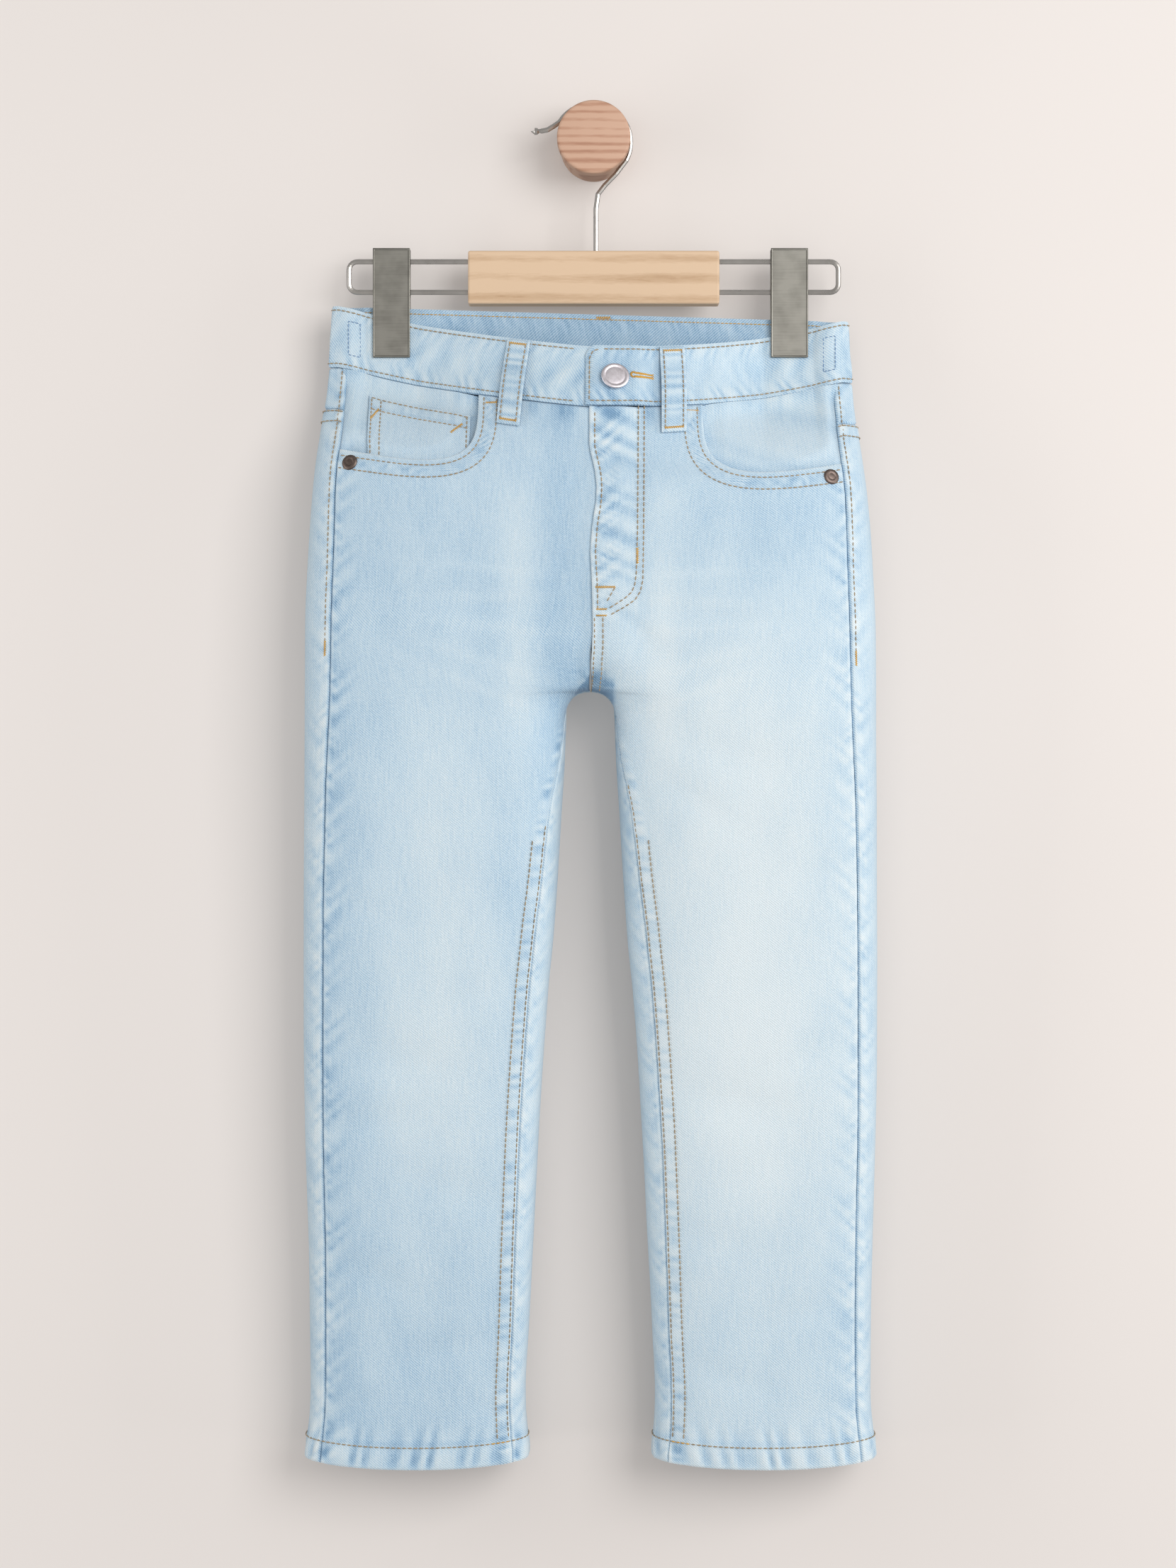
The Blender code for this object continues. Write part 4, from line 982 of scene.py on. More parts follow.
def facing_shell(name, side, sink, material):
    rows, cols = 44, 96
    z = np.linspace(BAND_Z - SEAM / 2, BAND_Z - POCKET_DEEP - FACING_BELOW, rows)[:, None]
    tucked = 2.6 + 2.4 * ease(z, BAND_Z - 28, BAND_Z - 40)
    start_x, end_x = POCKET_START_X - FACING_BEHIND, side_seam_x(z) + tucked - SEAM / 2
    x = start_x + (end_x - start_x) * np.linspace(0, 1, cols)[None, :]
    z = z + 0 * x
    sunk = facing_sink(np.minimum(x, side_seam_x(z)), z, sink)
    sunk = sunk + (SINK_AT_SEAM - sunk) * ease(x, side_seam_x(z) - 7, side_seam_x(z) - 1)
    grid = measured(*patch(side, x, z, FRONT), z)
    rise = 2.2 * near(grid.top, 7) * ease(x, 64, 76)
    wave = 0.25 * pucker(z + 0.4 * x, 26.0, 0.7 * side) * ease(x, 90, 110) * ease(x, 148, 138)
    fade_and_painted_light = 0.58 + 0.08 * pucker(z + 0.5 * x, 24.0, side) - 0.16 * near(from_edge(x, z, pocket_edge(40)), 7)
    fade_and_painted_light = fade_and_painted_light - 0.14 * near(grid.end, 5) + 0.10 * pucker(x, 17.0, 2 + side) * near(grid.top, 12)
    shell(name, grid, wave + rise - sunk - 0.2, rise - sunk - FACING_WALL, fade_and_painted_light, 0.5, material)


def coin_lift(x, z):
    """How far the coin pocket's face stands off the surface."""
    return COIN_GAP - facing_sink(x, z, COIN_FACING_SINK) + COIN_WALL


def coin_shell(material):
    share, down = np.linspace(0, 1, 54)[None, :], np.linspace(0, 1, 36)[:, None]
    x = COIN_INNER_X + (COIN_OUTER_X - COIN_INNER_X) * share + 0 * down
    top = COIN_TOP_INNER_Z + (COIN_TOP_OUTER_Z - COIN_TOP_INNER_Z) * share
    z = top + (COIN_BOTTOM_Z - top) * down
    grid = measured(*patch(LEFT, x, z, FRONT), z)
    rope = pucker(x, 8.5, 1.4) * near(grid.top - 5, 4)
    stitched = near(grid.top - 1.6, 0.7) + near(grid.top - 9, 0.7)
    lift = coin_lift(x, z) + edge_round(grid, 0.45, 0.7) - 0.2 * stitched + 0.14 * rope
    fade_and_painted_light = 0.55 + 0.10 * rope - 0.12 * near(grid.top - 9.6, 1.2) + 0.12 * near(grid.top, 1.0)
    fade_and_painted_light = fade_and_painted_light - 0.08 * near(grid.end, 4) + 0.05 * smooth_noise(x * 3, z * 2, 1)
    shell("coin_pocket", grid, lift, coin_lift(x, z) - COIN_WALL, fade_and_painted_light, 0.6, material)


def band_line(z):
    """(points, normals, lift) once round the waistband at a height, from its right end to its left."""
    parts = [
        (RIGHT, spaced(BAND_END, half_width(z), 1.0, 3.0), FRONT),
        (RIGHT, spaced(half_width(z), 0.0, 3.0)[1:], BACK),
        (LEFT, spaced(half_width(z), 0.0, 3.0)[-2:0:-1], BACK),
        (LEFT, spaced(half_width(z), -BAND_UNDER, 3.0), FRONT),
    ]
    made = []
    for side, x, face in parts:
        heights = np.full(len(x), z)
        across = across_of(x, heights)
        upward = at(side, across, heights + 0.5, face) - at(side, across, heights - 0.5, face)
        made.append((at(side, across, heights, face), upward))
    points, upward = (np.concatenate([part[i] for part in made]) for i in range(2))
    normals = unit(np.cross(np.gradient(points, axis=0), upward))
    lift = np.zeros(len(points))
    right_front = parts[0][1]
    lift[: len(right_front)] = BAND_LIFT * (1 - ease(right_front, BAND_UNDER + 2, BAND_LIFT_TO))
    return points, normals, lift


BAND_SHELL_COLS = 560
BAND_CORNER = 6.0


def even_band(z, count=BAND_SHELL_COLS):
    """band_line at count evenly spaced places."""
    line = band_line(z)
    run = run_of(line[0])
    columns = picked(np.column_stack(line), run, np.linspace(0, run[-1], count))
    return columns[:, :3], unit(columns[:, 3:6]), columns[:, 6]


def waistband_shell(material):
    tall = BAND_TALL - SEAM / 2
    middle = np.linspace(2.6, tall - 2.6, 20)
    drops = np.concatenate([[0, 0.3, 0.7, 1.2, 1.8], middle, [tall - 1.6, tall - 0.9, tall - 0.4, tall]])
    lines = [even_band(WAIST_Z - drop) for drop in drops]
    points, normals, base = (np.stack([line[i] for line in lines]) for i in range(3))
    grid = measured(points, normals, (WAIST_Z - drops)[:, None] + 0 * base)
    run, down = grid.start, drops[:, None]
    corner = BAND_CORNER * np.clip(1 - run / BAND_CORNER, 0, 1) ** 2.2 * (1 - down / tall)
    grid.points[..., 2] -= corner
    rope_top, rope_low = pucker(run + 0.5 * down, 8.0, 0.3), pucker(run - 0.6 * down, 9.0, 2.3)
    wrinkle = pucker(run + 0.35 * down, 31.0, 1.1) * near(down - 19, 10)
    small = pucker(run - 0.5 * down, 14.0, 3.9) * near(down - 20, 9)
    outside = edge_round(grid, 0.55, 0.8) - 0.22 * near(down - 2.4, 0.8) - 0.22 * near(down - tall + 2.2, 0.8)
    outside = outside + 0.12 * rope_top * near(down - 5, 3) + 0.14 * rope_low * near(down - tall + 5, 3)
    clear = clip_clear(points)
    outside = outside * (0.4 + 0.6 * clear) + (0.40 * wrinkle + 0.16 * small) * clear
    fade_and_painted_light = 0.56 + 0.20 * rope_top * near(down - 5, 4) + 0.22 * rope_low * near(down - tall + 5, 5)
    fade_and_painted_light = fade_and_painted_light + 0.16 * wrinkle + 0.10 * near(down, 1.2) - 0.10 * near(down - tall, 2.5) - 0.06 * small
    front, x = normals[..., 1] < 0, points[..., 0] - CENTRE_X
    fade_and_painted_light = fade_and_painted_light - (0.16 * near(np.abs(x - 14), 26) + 0.12 * near(np.abs(x) - 46, 14)) * front
    outer, clips = BAND_PROUD + base + outside, ["clip_left_front", "clip_right_front"]
    shell("waistband", grid, outer, base - BAND_INNER, fade_and_painted_light, 0.55, material)


def clip_clear(points):
    """0 under the clips' jaws and 1 away from them, so that nothing stands off the band there."""
    away = np.abs(np.abs(points[..., 0] - CENTRE_X) - CLIP_AT)
    low = ease(points[..., 2], CLIP_BOTTOM_Z - 1, CLIP_BOTTOM_Z - 5)
    return np.maximum(ease(away, CLIP_WIDE / 2, CLIP_WIDE / 2 + 5), low)


def loop_stand_off(share):
    """How far a belt loop's inner face stands off the surface, at shares of the way down it."""
    return BAND_PROUD + LAP_GAP + LOOP_BOW * np.sin(math.pi * share)


def loop_shell(loop, material):
    """A folded strip from the waist edge to below the band seam, bowed off the band between its bartacks."""
    rows, cols = 60, 18
    share = np.linspace(0, 1, rows)[:, None]
    across = np.linspace(-loop.wide / 2, loop.wide / 2, cols)[None, :]
    z = LOOP_TOP_Z - LOOP_TALL * share + 0 * across
    grid = measured(*patch(loop.side, loop.x + loop.lean * (share - 0.5) + across, z, loop.face), z)
    clear = loop_stand_off(share) + 0 * across
    rope = pucker(z, 7.0, loop.x)
    ridge = near(np.abs(across) - (loop.wide / 2 - 1.9), 0.7)
    lift = clear + LOOP_WALL + edge_round(grid, 0.5, 0.6) - 0.2 * ridge + 0.10 * rope * near(across, 3)
    fade_and_painted_light = 0.58 + 0.22 * rope * (1 - ridge) - 0.12 * ridge + 0.12 * near(np.abs(across) - loop.wide / 2, 0.7)
    shell(loop.name, grid, lift, clear, fade_and_painted_light - 0.10 * near(share - 0.5, 0.5), 0.5, material)


def patch_place(share, down):
    """(x, z) on a back pocket, from shares across and down it."""
    narrow = PATCH_NARROWS * down
    x = (PATCH_INNER_X + narrow) + (PATCH_OUTER_X - PATCH_INNER_X - 2 * narrow) * share
    tall = PATCH_SIDE_TALL + (PATCH_POINT_TALL - PATCH_SIDE_TALL) * (1 - np.abs(2 * share - 1))
    return x, PATCH_TOP_Z + PATCH_TILT * (share - 0.5) - tall * down


def back_pocket_shell(name, side, material):
    share, down = np.linspace(0, 1, 62)[None, :], np.linspace(0, 1, 58)[:, None]
    x, z = patch_place(share, down)
    grid = measured(*patch(side, x, z, BACK), z)
    rim = np.minimum(np.minimum(grid.start, grid.end), grid.bottom)
    rope = pucker(x + z, 9.0, 2.0 * side) * near(rim - 5, 4)
    stitched = near(rim - 1.8, 0.7) + near(rim - 8, 0.7) + near(grid.top - 12, 0.8)
    lift = PATCH_GAP + PATCH_WALL + edge_round(grid, 0.5, 0.7) - 0.2 * stitched
    lift = lift + 0.12 * rope + 0.25 * smooth_noise(x, z, side)
    fade_and_painted_light = 0.62 + 0.10 * rope + 0.12 * near(rim, 0.9) - 0.10 * near(rim - 8.6, 1.2)
    fade_and_painted_light = fade_and_painted_light - 0.08 * near(grid.top - 12.6, 1.2) + 0.06 * smooth_noise(x * 2, z, side)
    shell(name, grid, lift, PATCH_GAP, fade_and_painted_light, 0.5, material)


THREAD = 0.82
STITCH_PITCH = 3.3
STITCH_LONG = 2.75
BARTACK_PITCH = 0.62
BARTACK_SLANT = 0.35
BEAD_SIDES = 6
BEAD_RINGS = 5
BEAD_TAPER = 0.86
BEAD_SUNK = 0.06


def nominal(side, x, z, face=FRONT):
    """The surface's own height for places whose real height is z."""
    own = np.array(z, float)
    for _ in range(8):
        own = own + (z - at(side, across_of(x, own), own, face)[..., 2])
    return own


def resampled(places, step=0.8):
    """A line through (x, z) places with one every step."""
    table = np.array(places, float)
    run = run_of(table)
    return picked(table, run, np.linspace(0, run[-1], max(6, int(run[-1] / step)))).T


def on_cloth(side, places, lift, face=FRONT, real=False):
    """(points, normals) of a line of (x, z) places on the cloth.

    real says that z is the height as it hangs.
    """
    x, z = resampled(places)
    if real:
        z = nominal(side, x, z, face)
    points, normals = patch(side, x, z, face)
    off = lift(x, z) if callable(lift) else lift
    return points + normals * np.broadcast_to(off, x.shape)[:, None], normals


def beads(points, normals, starts, ends, thick, arched=0.22):
    """(verts, sides, caps, count) of threads, each a rounded bead between two lengths along a line."""
    share = np.linspace(0, 1, BEAD_RINGS)
    run, wanted = run_of(points), starts[:, None] + (ends - starts)[:, None] * share
    middle, up = picked(points, run, wanted), unit(picked(normals, run, wanted))
    across = unit(np.cross(unit(np.gradient(middle, axis=1)), up))
    round_off = np.sqrt(np.clip(1 - (2 * share - 1) ** 2 * BEAD_TAPER, 0, 1))
    middle = middle + up * (arched * np.sin(math.pi * share) - BEAD_SUNK)[None, :, None]
    turns = (2 * math.pi * np.arange(BEAD_SIDES) / BEAD_SIDES)[None, None, :, None]
    ring = across[:, :, None] * np.cos(turns) + up[:, :, None] * np.sin(turns)
    verts = (middle[:, :, None] + ring * thick / 2 * round_off[None, :, None, None]).reshape(-1, 3)
    one = np.arange(BEAD_RINGS * BEAD_SIDES).reshape(BEAD_RINGS, BEAD_SIDES)
    low, high = one[:-1], one[1:]
    sides = np.stack([low, np.roll(low, -1, 1), np.roll(high, -1, 1), high], axis=-1).reshape(-1, 4)
    return verts, sides, [one[0, ::-1].tolist(), one[-1].tolist()], len(starts)


class Threads:
    """Collects threads of one colour and makes them one piece."""

    def __init__(self):
        self.verts, self.faces, self.count = [], [], 0

    def add(self, made):
        verts, sides, caps, count = made
        for k in range(count):
            base = self.count + k * BEAD_RINGS * BEAD_SIDES
            self.faces += (sides + base).tolist()
            self.faces += [[base + i for i in cap] for cap in caps]
        self.verts.append(verts)
        self.count += len(verts)

    def line(self, path, pitch=STITCH_PITCH, long=STITCH_LONG, thick=THREAD):
        """A row of topstitches along a path."""
        points, normals = path
        total = steps(points).sum()
        count = max(1, int(total / pitch))
        starts = (np.arange(count) + 0.5) * total / count - long / 2
        self.add(beads(points, normals, starts, starts + long, thick))

    def single(self, path, thick, arched):
        """One thread over the whole of a short path."""
        points, normals = path
        self.add(beads(points, normals, np.zeros(1), np.array([steps(points).sum()]), thick, arched))

    def bartack(self, side, start, end, lift, face=FRONT, wide=1.9, real=False):
        """A dense bar of cross threads between two places."""
        start, end = np.array(start, float), np.array(end, float)
        length = np.hypot(*(end - start))
        along = (end - start) / length
        cross = np.array([-along[1], along[0]]) * wide / 2
        count = max(4, int(length / BARTACK_PITCH))
        for k in range(count):
            middle = start + (end - start) * (k + 0.5) / count
            reach = cross + along * (BARTACK_SLANT if k % 2 else -BARTACK_SLANT)
            self.single(on_cloth(side, [middle - reach, middle + reach], lift, face, real), 0.55, 0.30)

    def piece(self, name, material):
        mesh = bpy.data.meshes.new(name)
        mesh.from_pydata((np.concatenate(self.verts) * MM).tolist(), [], self.faces)
        mesh.shade_smooth()
        placed(name, mesh, material)


def offset_line(places, off):
    """A line moved sideways by off, to its left as it runs."""
    table = np.array(places, float)
    along = unit(np.gradient(table, axis=0))
    return table + np.stack([-along[:, 1], along[:, 0]], axis=1) * off


def band_path(z, start, end, out=True):
    """Part of a line round the band's outer or inner face at a height, between shares of its length."""
    points, normals, base = even_band(z, 900)
    part = slice(int(start * 899), int(end * 899))
    face = points + normals * (base + BAND_PROUD if out else base - BAND_INNER)[:, None]
    return face[part], (normals if out else -normals)[part]


def band_stitches(tan, mustard):
    tan.line(band_path(WAIST_Z - 2.4, 0.016, 0.955))
    tan.line(band_path(BAND_Z + 2.4, 0.004, 0.955))
    mustard.line(band_path(WAIST_Z - 3.0, 0.03, 0.97, out=False), 2.5, 2.3, 0.6)
    mustard.bartack(RIGHT, (3.6, -108.6), (12.2, -108.6), -BAND_INNER - 0.35, BACK, real=True)
    end = [(8.0, WAIST_Z - 2.6), (4.4, WAIST_Z - 3.8), (2.4, WAIST_Z - 8.5), (2.2, BAND_Z + 2.6)]
    tan.line(on_cloth(RIGHT, [(BAND_END + x, z) for x, z in end], BAND_PROUD + BAND_LIFT))


# The fly's curved stitching as it hangs, from the band to the centre: its inner row and its outer row
FLY_CURVES = [
    [
        (28.6, -148), (28.6, -168), (28.1, -242), (27.3, -268),
        (26.4, -275), (24.6, -279.4), (20.6, -283), (11.0, -289),
    ],
    [
        (32.2, -148), (32.2, -168), (31.7, -242), (31.2, -272),
        (29.8, -279), (26.6, -284), (21.6, -287.4), (11.8, -293),
    ],
]


def fly_stitches(tan, mustard):
    def lift(x, z):
        return fly_raise(x, z) + 0.1

    edge = [(fly_edge_x(z) + 3.4, z) for z in np.linspace(-148, -288, 60)]
    tan.line(on_cloth(RIGHT, edge, lift))
    for line in FLY_CURVES:
        tan.line(on_cloth(RIGHT, line, lift, real=True))
    mustard.bartack(RIGHT, (27.9, -253), (27.9, -262.5), lift, real=True)
    mustard.bartack(RIGHT, (2.9, -276.4), (14.8, -276.4), lift, real=True, wide=1.6)
    for z in (-289.5, -293.3):
        mustard.bartack(RIGHT, (3.4, z), (9.7, z), lift, real=True, wide=1.2)
    tan.line(on_cloth(RIGHT, [(14.8, -276.4), (9.7, -285)], lift, real=True))
    for x in (2.4, 7.4):
        rise = [(x, -294), (x + 0.2, -312), (x - 0.5, -326), (x - 2.0, -338)]
        tan.line(on_cloth(RIGHT, rise, lift, real=True))


def pocket_stitches(tan, mustard):
    for side in (LEFT, RIGHT):
        for off in POCKET_ROWS:
            line = offset_line(pocket_edge(80), -off)
            inside = [(x, z) for x, z in line if z < BAND_Z - 1.5 and x < side_seam_x(z) - 1.0]
            tan.line(on_cloth(side, inside, 0.1))
    mustard.bartack(LEFT, (56.0, -164.4), (63.0, -164.4), 0.15, real=True, wide=1.5)
    mustard.bartack(RIGHT, (57.6, -169.2), (65.0, -169.2), 0.15, real=True, wide=1.5)


def coin_stitches(tan, mustard):
    top = [(COIN_INNER_X + 1, COIN_TOP_INNER_Z), (COIN_OUTER_X - 1, COIN_TOP_OUTER_Z)]
    for down in (1.7, 9.2):
        tan.line(on_cloth(LEFT, [(x, z - down) for x, z in top], coin_lift))
    for x in (COIN_OUTER_X - 1.6, COIN_OUTER_X - 7.2, COIN_INNER_X + 1.8):
        tan.line(on_cloth(LEFT, [(x, COIN_TOP_OUTER_Z - 2), (x, COIN_BOTTOM_Z + 4)], coin_lift))
    mustard.bartack(LEFT, (128.4, -165.8), (133.2, -172.8), coin_lift, real=True, wide=1.6)
    mustard.bartack(LEFT, (77.4, -176.2), (84.2, -182.2), coin_lift, real=True, wide=1.6)


def loop_stitches(tan, mustard, loop):
    def lift(x, z):
        return loop_stand_off(np.clip((LOOP_TOP_Z - z) / LOOP_TALL, 0, 1)) + LOOP_WALL

    def place(share, across):
        return (loop.x + loop.lean * (share - 0.5) + across, LOOP_TOP_Z - LOOP_TALL * share)

    row, end = loop.wide / 2 - 2.0, loop.wide / 2 - 1.6
    for across in (-row, row):
        tan.line(on_cloth(loop.side, [place(0.03, across), place(0.97, across)], lift, loop.face))
    for share in (0.045, 0.955):
        mustard.bartack(loop.side, place(share, -end), place(share, end), lift, loop.face, wide=1.7)


INSEAM_STITCH_TOPS = {LEFT: (-419, -428), RIGHT: (-394, -427)}


def seam_stitches(tan, mustard):
    for side in (LEFT, RIGHT):
        heights = np.linspace(BAND_Z - 1.5, -312, 60)
        tan.line(on_cloth(side, [(side_seam_x(z) + 3.0, z) for z in heights], 0.05))
        start, end = ((side_seam_x(z) + 3.0, z + 1) for z in (-312, -321))
        mustard.bartack(side, start, end, 0.15, wide=1.5)
        for off, top in zip((1.4, 8.0), INSEAM_STITCH_TOPS[side]):
            heights = np.linspace(top, HEM_TOP_Z + 0.5, 120)
            tan.line(on_cloth(side, [(inseam_x(z) + off, z) for z in heights], 0.45))
        hem_stitch(tan, mustard, side, HEM_TOP_Z - 1.8)


def hem_stitch(tan, mustard, side, z):
    """The hem's stitches, all the way round, with thicker thread where they cross the inseam."""
    for points, normals, _ in (
        front_line(side, inseam_x(z), z, side_seam_x(z), z, 1.0),
        back_line(side, z, z, 1.0),
    ):
        tan.line((points + normals * (HEM_PROUD + 0.05), normals))
    across = [(inseam_x(z) + 1.0, z), (inseam_x(z) + 12.0, z)]
    mustard.line(on_cloth(side, across, HEM_PROUD + 0.25), 2.6, 2.4, 0.85)


def back_stitches(tan, mustard):
    lift = PATCH_GAP + PATCH_WALL
    for side in (LEFT, RIGHT):
        for off in (2.0, 8.6):
            points, normals, _ = back_line(side, YOKE_CENTRE_Z - off, YOKE_SIDE_Z - off, 1.0)
            tan.line((points + normals * 0.4, normals))
        for rim in (0.02, 0.09):
            down = np.linspace(0, 1, 30) * (1 - rim)
            low = np.concatenate([np.linspace(rim, 0.5, 16)[1:], np.linspace(0.5, 1 - rim, 16)[1:]])
            run = [patch_place(rim, s) for s in down]
            run += [patch_place(s, 1 - rim) for s in low]
            run += [patch_place(1 - rim, s) for s in down[::-1]]
            tan.line(on_cloth(side, run, lift, BACK))
        tan.line(on_cloth(side, [patch_place(s, 0.135) for s in np.linspace(0.03, 0.97, 20)], lift, BACK))
        for corner in (0.03, 0.97):
            mustard.bartack(side, patch_place(corner, 0.01), patch_place(corner, 0.10), lift, BACK, wide=1.7)
    for x in (1.7, 8.0):
        tan.line(on_cloth(RIGHT, [(x, z) for z in np.linspace(BAND_Z - 2, -333, 60)], 0.1, BACK))


def buttonhole(mustard):
    """A keyhole in dense thread: two lips beside a slit, and an eye next to the button."""
    def lift(x, z):
        return BAND_PROUD + BAND_LIFT * (1 - ease(x, BAND_UNDER + 2, BAND_LIFT_TO)) + 0.1

    eye_x, far_x, z = 25.2, 36.4, -149.6
    for k in range(26):
        x = eye_x + 1.5 + (far_x - eye_x - 1.5) * k / 25
        for way in (-1, 1):
            lip = [(x, z + way * (0.42 if k < 6 else 0.05)), (x + 0.2, z + way * (1.9 - 0.2 * (k > 16)))]
            mustard.single(on_cloth(RIGHT, lip, lift, real=True), 0.62, 0.36)
    for turn in np.radians(np.linspace(40, 320, 15)):
        ray = [(eye_x + far * math.cos(turn), z + far * math.sin(turn)) for far in (0.9, 2.3)]
        mustard.single(on_cloth(RIGHT, ray, lift, real=True), 0.6, 0.3)
    mustard.bartack(RIGHT, (far_x + 0.8, z - 1.8), (far_x + 0.8, z + 1.8), lift, wide=1.5, real=True)


def anchor_stitches(blue):
    """The small sewn rectangles that hold the band's elastic."""
    for side, x in ((LEFT, 144.5), (RIGHT, 146.0)):
        low, high = BAND_Z + 9.0, WAIST_Z - 8.0
        ring = [(x - 3.6, low), (x + 3.2, low), (x + 3.2, high), (x - 3.6, high), (x - 3.6, low)]
        blue.line(on_cloth(side, ring, BAND_PROUD + 0.05), 2.6, 2.2, 0.5)


class Finish:
    """A material, made node by node."""

    def __init__(self, name):
        self.material = bpy.data.materials.new(name)
        self.material.use_nodes = True
        self.nodes, self.links = self.material.node_tree.nodes, self.material.node_tree.links
        self.shader = self.nodes["Principled BSDF"]

    def add(self, kind, wires=None, values=None, **settings):
        """A node with its settings, and its sockets' values and wires by socket."""
        made = self.nodes.new(kind)
        for name, setting in settings.items():
            setattr(made, name, setting)
        for socket, value in (values or {}).items():
            made.inputs[socket].default_value = value
        for socket, source in (wires or {}).items():
            self.links.new(source, made.inputs[socket])
        return made

    def place(self):
        """Coordinates on the object, in metres."""
        return self.add("ShaderNodeTexCoord").outputs["Object"]

    def scaled(self, where, scale, turn=0.0):
        """Coordinates scaled, then turned in their plane by degrees."""
        values = {"Rotation": (0, 0, math.radians(turn)), "Scale": scale}
        return self.add("ShaderNodeMapping", {"Vector": where}, values).outputs["Vector"]

    def noise(self, where, scale, detail=3.0, roughness=0.55):
        values = {"Scale": scale, "Detail": detail, "Roughness": roughness}
        return self.add("ShaderNodeTexNoise", {"Vector": where}, values).outputs["Fac"]

    def bands(self, where, scale, distortion, way="X", detail=2.0, detail_scale=1.5):
        values = {"Scale": scale, "Distortion": distortion, "Detail": detail, "Detail Scale": detail_scale}
        wave = {"wave_type": "BANDS", "bands_direction": way}
        return self.add("ShaderNodeTexWave", {"Vector": where}, values, **wave).outputs["Fac"]

    def plus(self, first, second, share):
        """first, with a share of second added to it."""
        made = self.add("ShaderNodeMath", {0: second, 2: first}, {1: share}, operation="MULTIPLY_ADD")
        return made.outputs[0]

    def coloured(self, value, stops):
        """Gives the surface a colour by value, from a ramp of (place, colour) stops."""
        made = self.add("ShaderNodeValToRGB", {"Fac": value})
        points = made.color_ramp.elements
        while len(points) < len(stops):
            points.new(0.5)
        for point, (place, colour) in zip(points, stops):
            point.position = place
            point.color = (*colour, 1)
        self.links.new(made.outputs["Color"], self.shader.inputs["Base Color"])
        return made.outputs["Color"]

    def bumped(self, height, strength, distance):
        made = self.add("ShaderNodeBump", {"Height": height}, {"Strength": strength, "Distance": distance})
        self.links.new(made.outputs["Normal"], self.shader.inputs["Normal"])

    def done(self, **values):
        """The material, with the surface's other values: roughness, sheen_weight and so on."""
        for name, value in values.items():
            socket = name.replace("_", " ").title().replace("Ior", "IOR")
            self.shader.inputs[socket].default_value = value
        return self.material


# The denim from its bluest to its palest
DENIM_STOPS = [
    (0.00, (0.170, 0.310, 0.480)),
    (0.22, (0.310, 0.475, 0.640)),
    (0.45, (0.470, 0.625, 0.755)),
    (0.70, (0.605, 0.725, 0.800)),
    (1.00, (0.730, 0.805, 0.840)),
]
TWILL_PITCH = 1.15
TWILL_TURN = 52.0
FADE_CENTRE = 0.69


def denim():
    """Pale washed twill: slanting ribs of blue warp over white weft, slubs, cloudy fading, and painted light
    and shade.
    """
    cloth = Finish("denim_washed_twill")
    where = cloth.add("ShaderNodeUVMap", uv_map="Cloth").outputs["UV"]
    # The pieces' paleness: their wash, with the painted shade and painted light put into it
    value = cloth.add("ShaderNodeAttribute", attribute_name="fade_and_painted_light").outputs["Fac"]
    twill_scale = 2 * math.pi / (20 * TWILL_PITCH * UV_PER_MM)
    twill = cloth.bands(cloth.scaled(where, (1, 1, 1), TWILL_TURN), twill_scale, 1.6)
    slub = cloth.noise(cloth.scaled(where, (95, 6.5, 1)), 1.0, 4.0, 0.6)
    grain = cloth.noise(cloth.scaled(where, (60, 60, 1)), 1.0, 3.0, 0.7)
    cloud = cloth.noise(cloth.scaled(where, (2.2, 1.6, 1)), 1.0, 3.0, 0.5)
    for part, share in ((twill, 0.34), (slub, 0.46), (grain, 0.38), (cloud, 0.20)):
        value = cloth.plus(value, part, share)
    centred = cloth.add("ShaderNodeMath", {0: value}, {1: FADE_CENTRE}, operation="SUBTRACT")
    cloth.coloured(centred.outputs[0], DENIM_STOPS)
    cloth.bumped(cloth.plus(slub, twill, 0.8), 0.55, 0.00035)
    return cloth.done(roughness=0.92, specular_ior_level=0.18, sheen_weight=0.22, sheen_roughness=0.5)


def thread(name, light, dark):
    """Twisted sewing thread: its plies show as fine slanting bands."""
    yarn = Finish(name)
    where = yarn.place()
    ply = yarn.bands(yarn.scaled(where, (1, 1, 1), 35), 900.0, 1.0)
    yarn.coloured(yarn.plus(yarn.noise(where, 260.0, 2.0), ply, 0.45), [(0.35, dark), (0.95, light)])
    yarn.bumped(ply, 0.4, 0.0001)
    return yarn.done(roughness=0.6, sheen_weight=0.2)


def metal(name, light, dark, roughness, grain):
    """Plated metal with a fine grain, by its scale along each axis, and slightly uneven gloss."""
    plate = Finish(name)
    where = plate.place()
    lines = plate.noise(plate.scaled(where, grain), 1.0, 4.0, 0.65)
    plate.coloured(plate.plus(plate.noise(where, 90.0, 2.0), lines, 0.7), [(0.45, dark), (1.05, light)])
    limits = {"To Min": roughness - 0.06, "To Max": roughness + 0.08}
    gloss = plate.add("ShaderNodeMapRange", {"Value": lines}, limits)
    plate.links.new(gloss.outputs["Result"], plate.shader.inputs["Roughness"])
    plate.bumped(lines, 0.25, 0.0001)
    return plate.done(metallic=1.0)


def wood(name, stops, ring_scale, fleck_scale, roughness):
    """Wood with its grain along X: long growth bands, short dark pores and a satin surface."""
    timber = Finish(name)
    where = timber.place()
    wander = timber.noise(timber.scaled(where, (6, 40, 40)), 1.0, 2.0)
    rings = timber.bands(timber.scaled(where, (0.08, 1, 1)), ring_scale, 4.5, "Z", 3.0, 0.9)
    pores = timber.noise(timber.scaled(where, fleck_scale), 1.0, 2.0, 0.6)
    timber.coloured(timber.plus(timber.plus(wander, rings, 0.55), pores, 0.5), stops)
    timber.bumped(pores, 0.3, 0.0002)
    return timber.done(roughness=roughness, specular_ior_level=0.3)


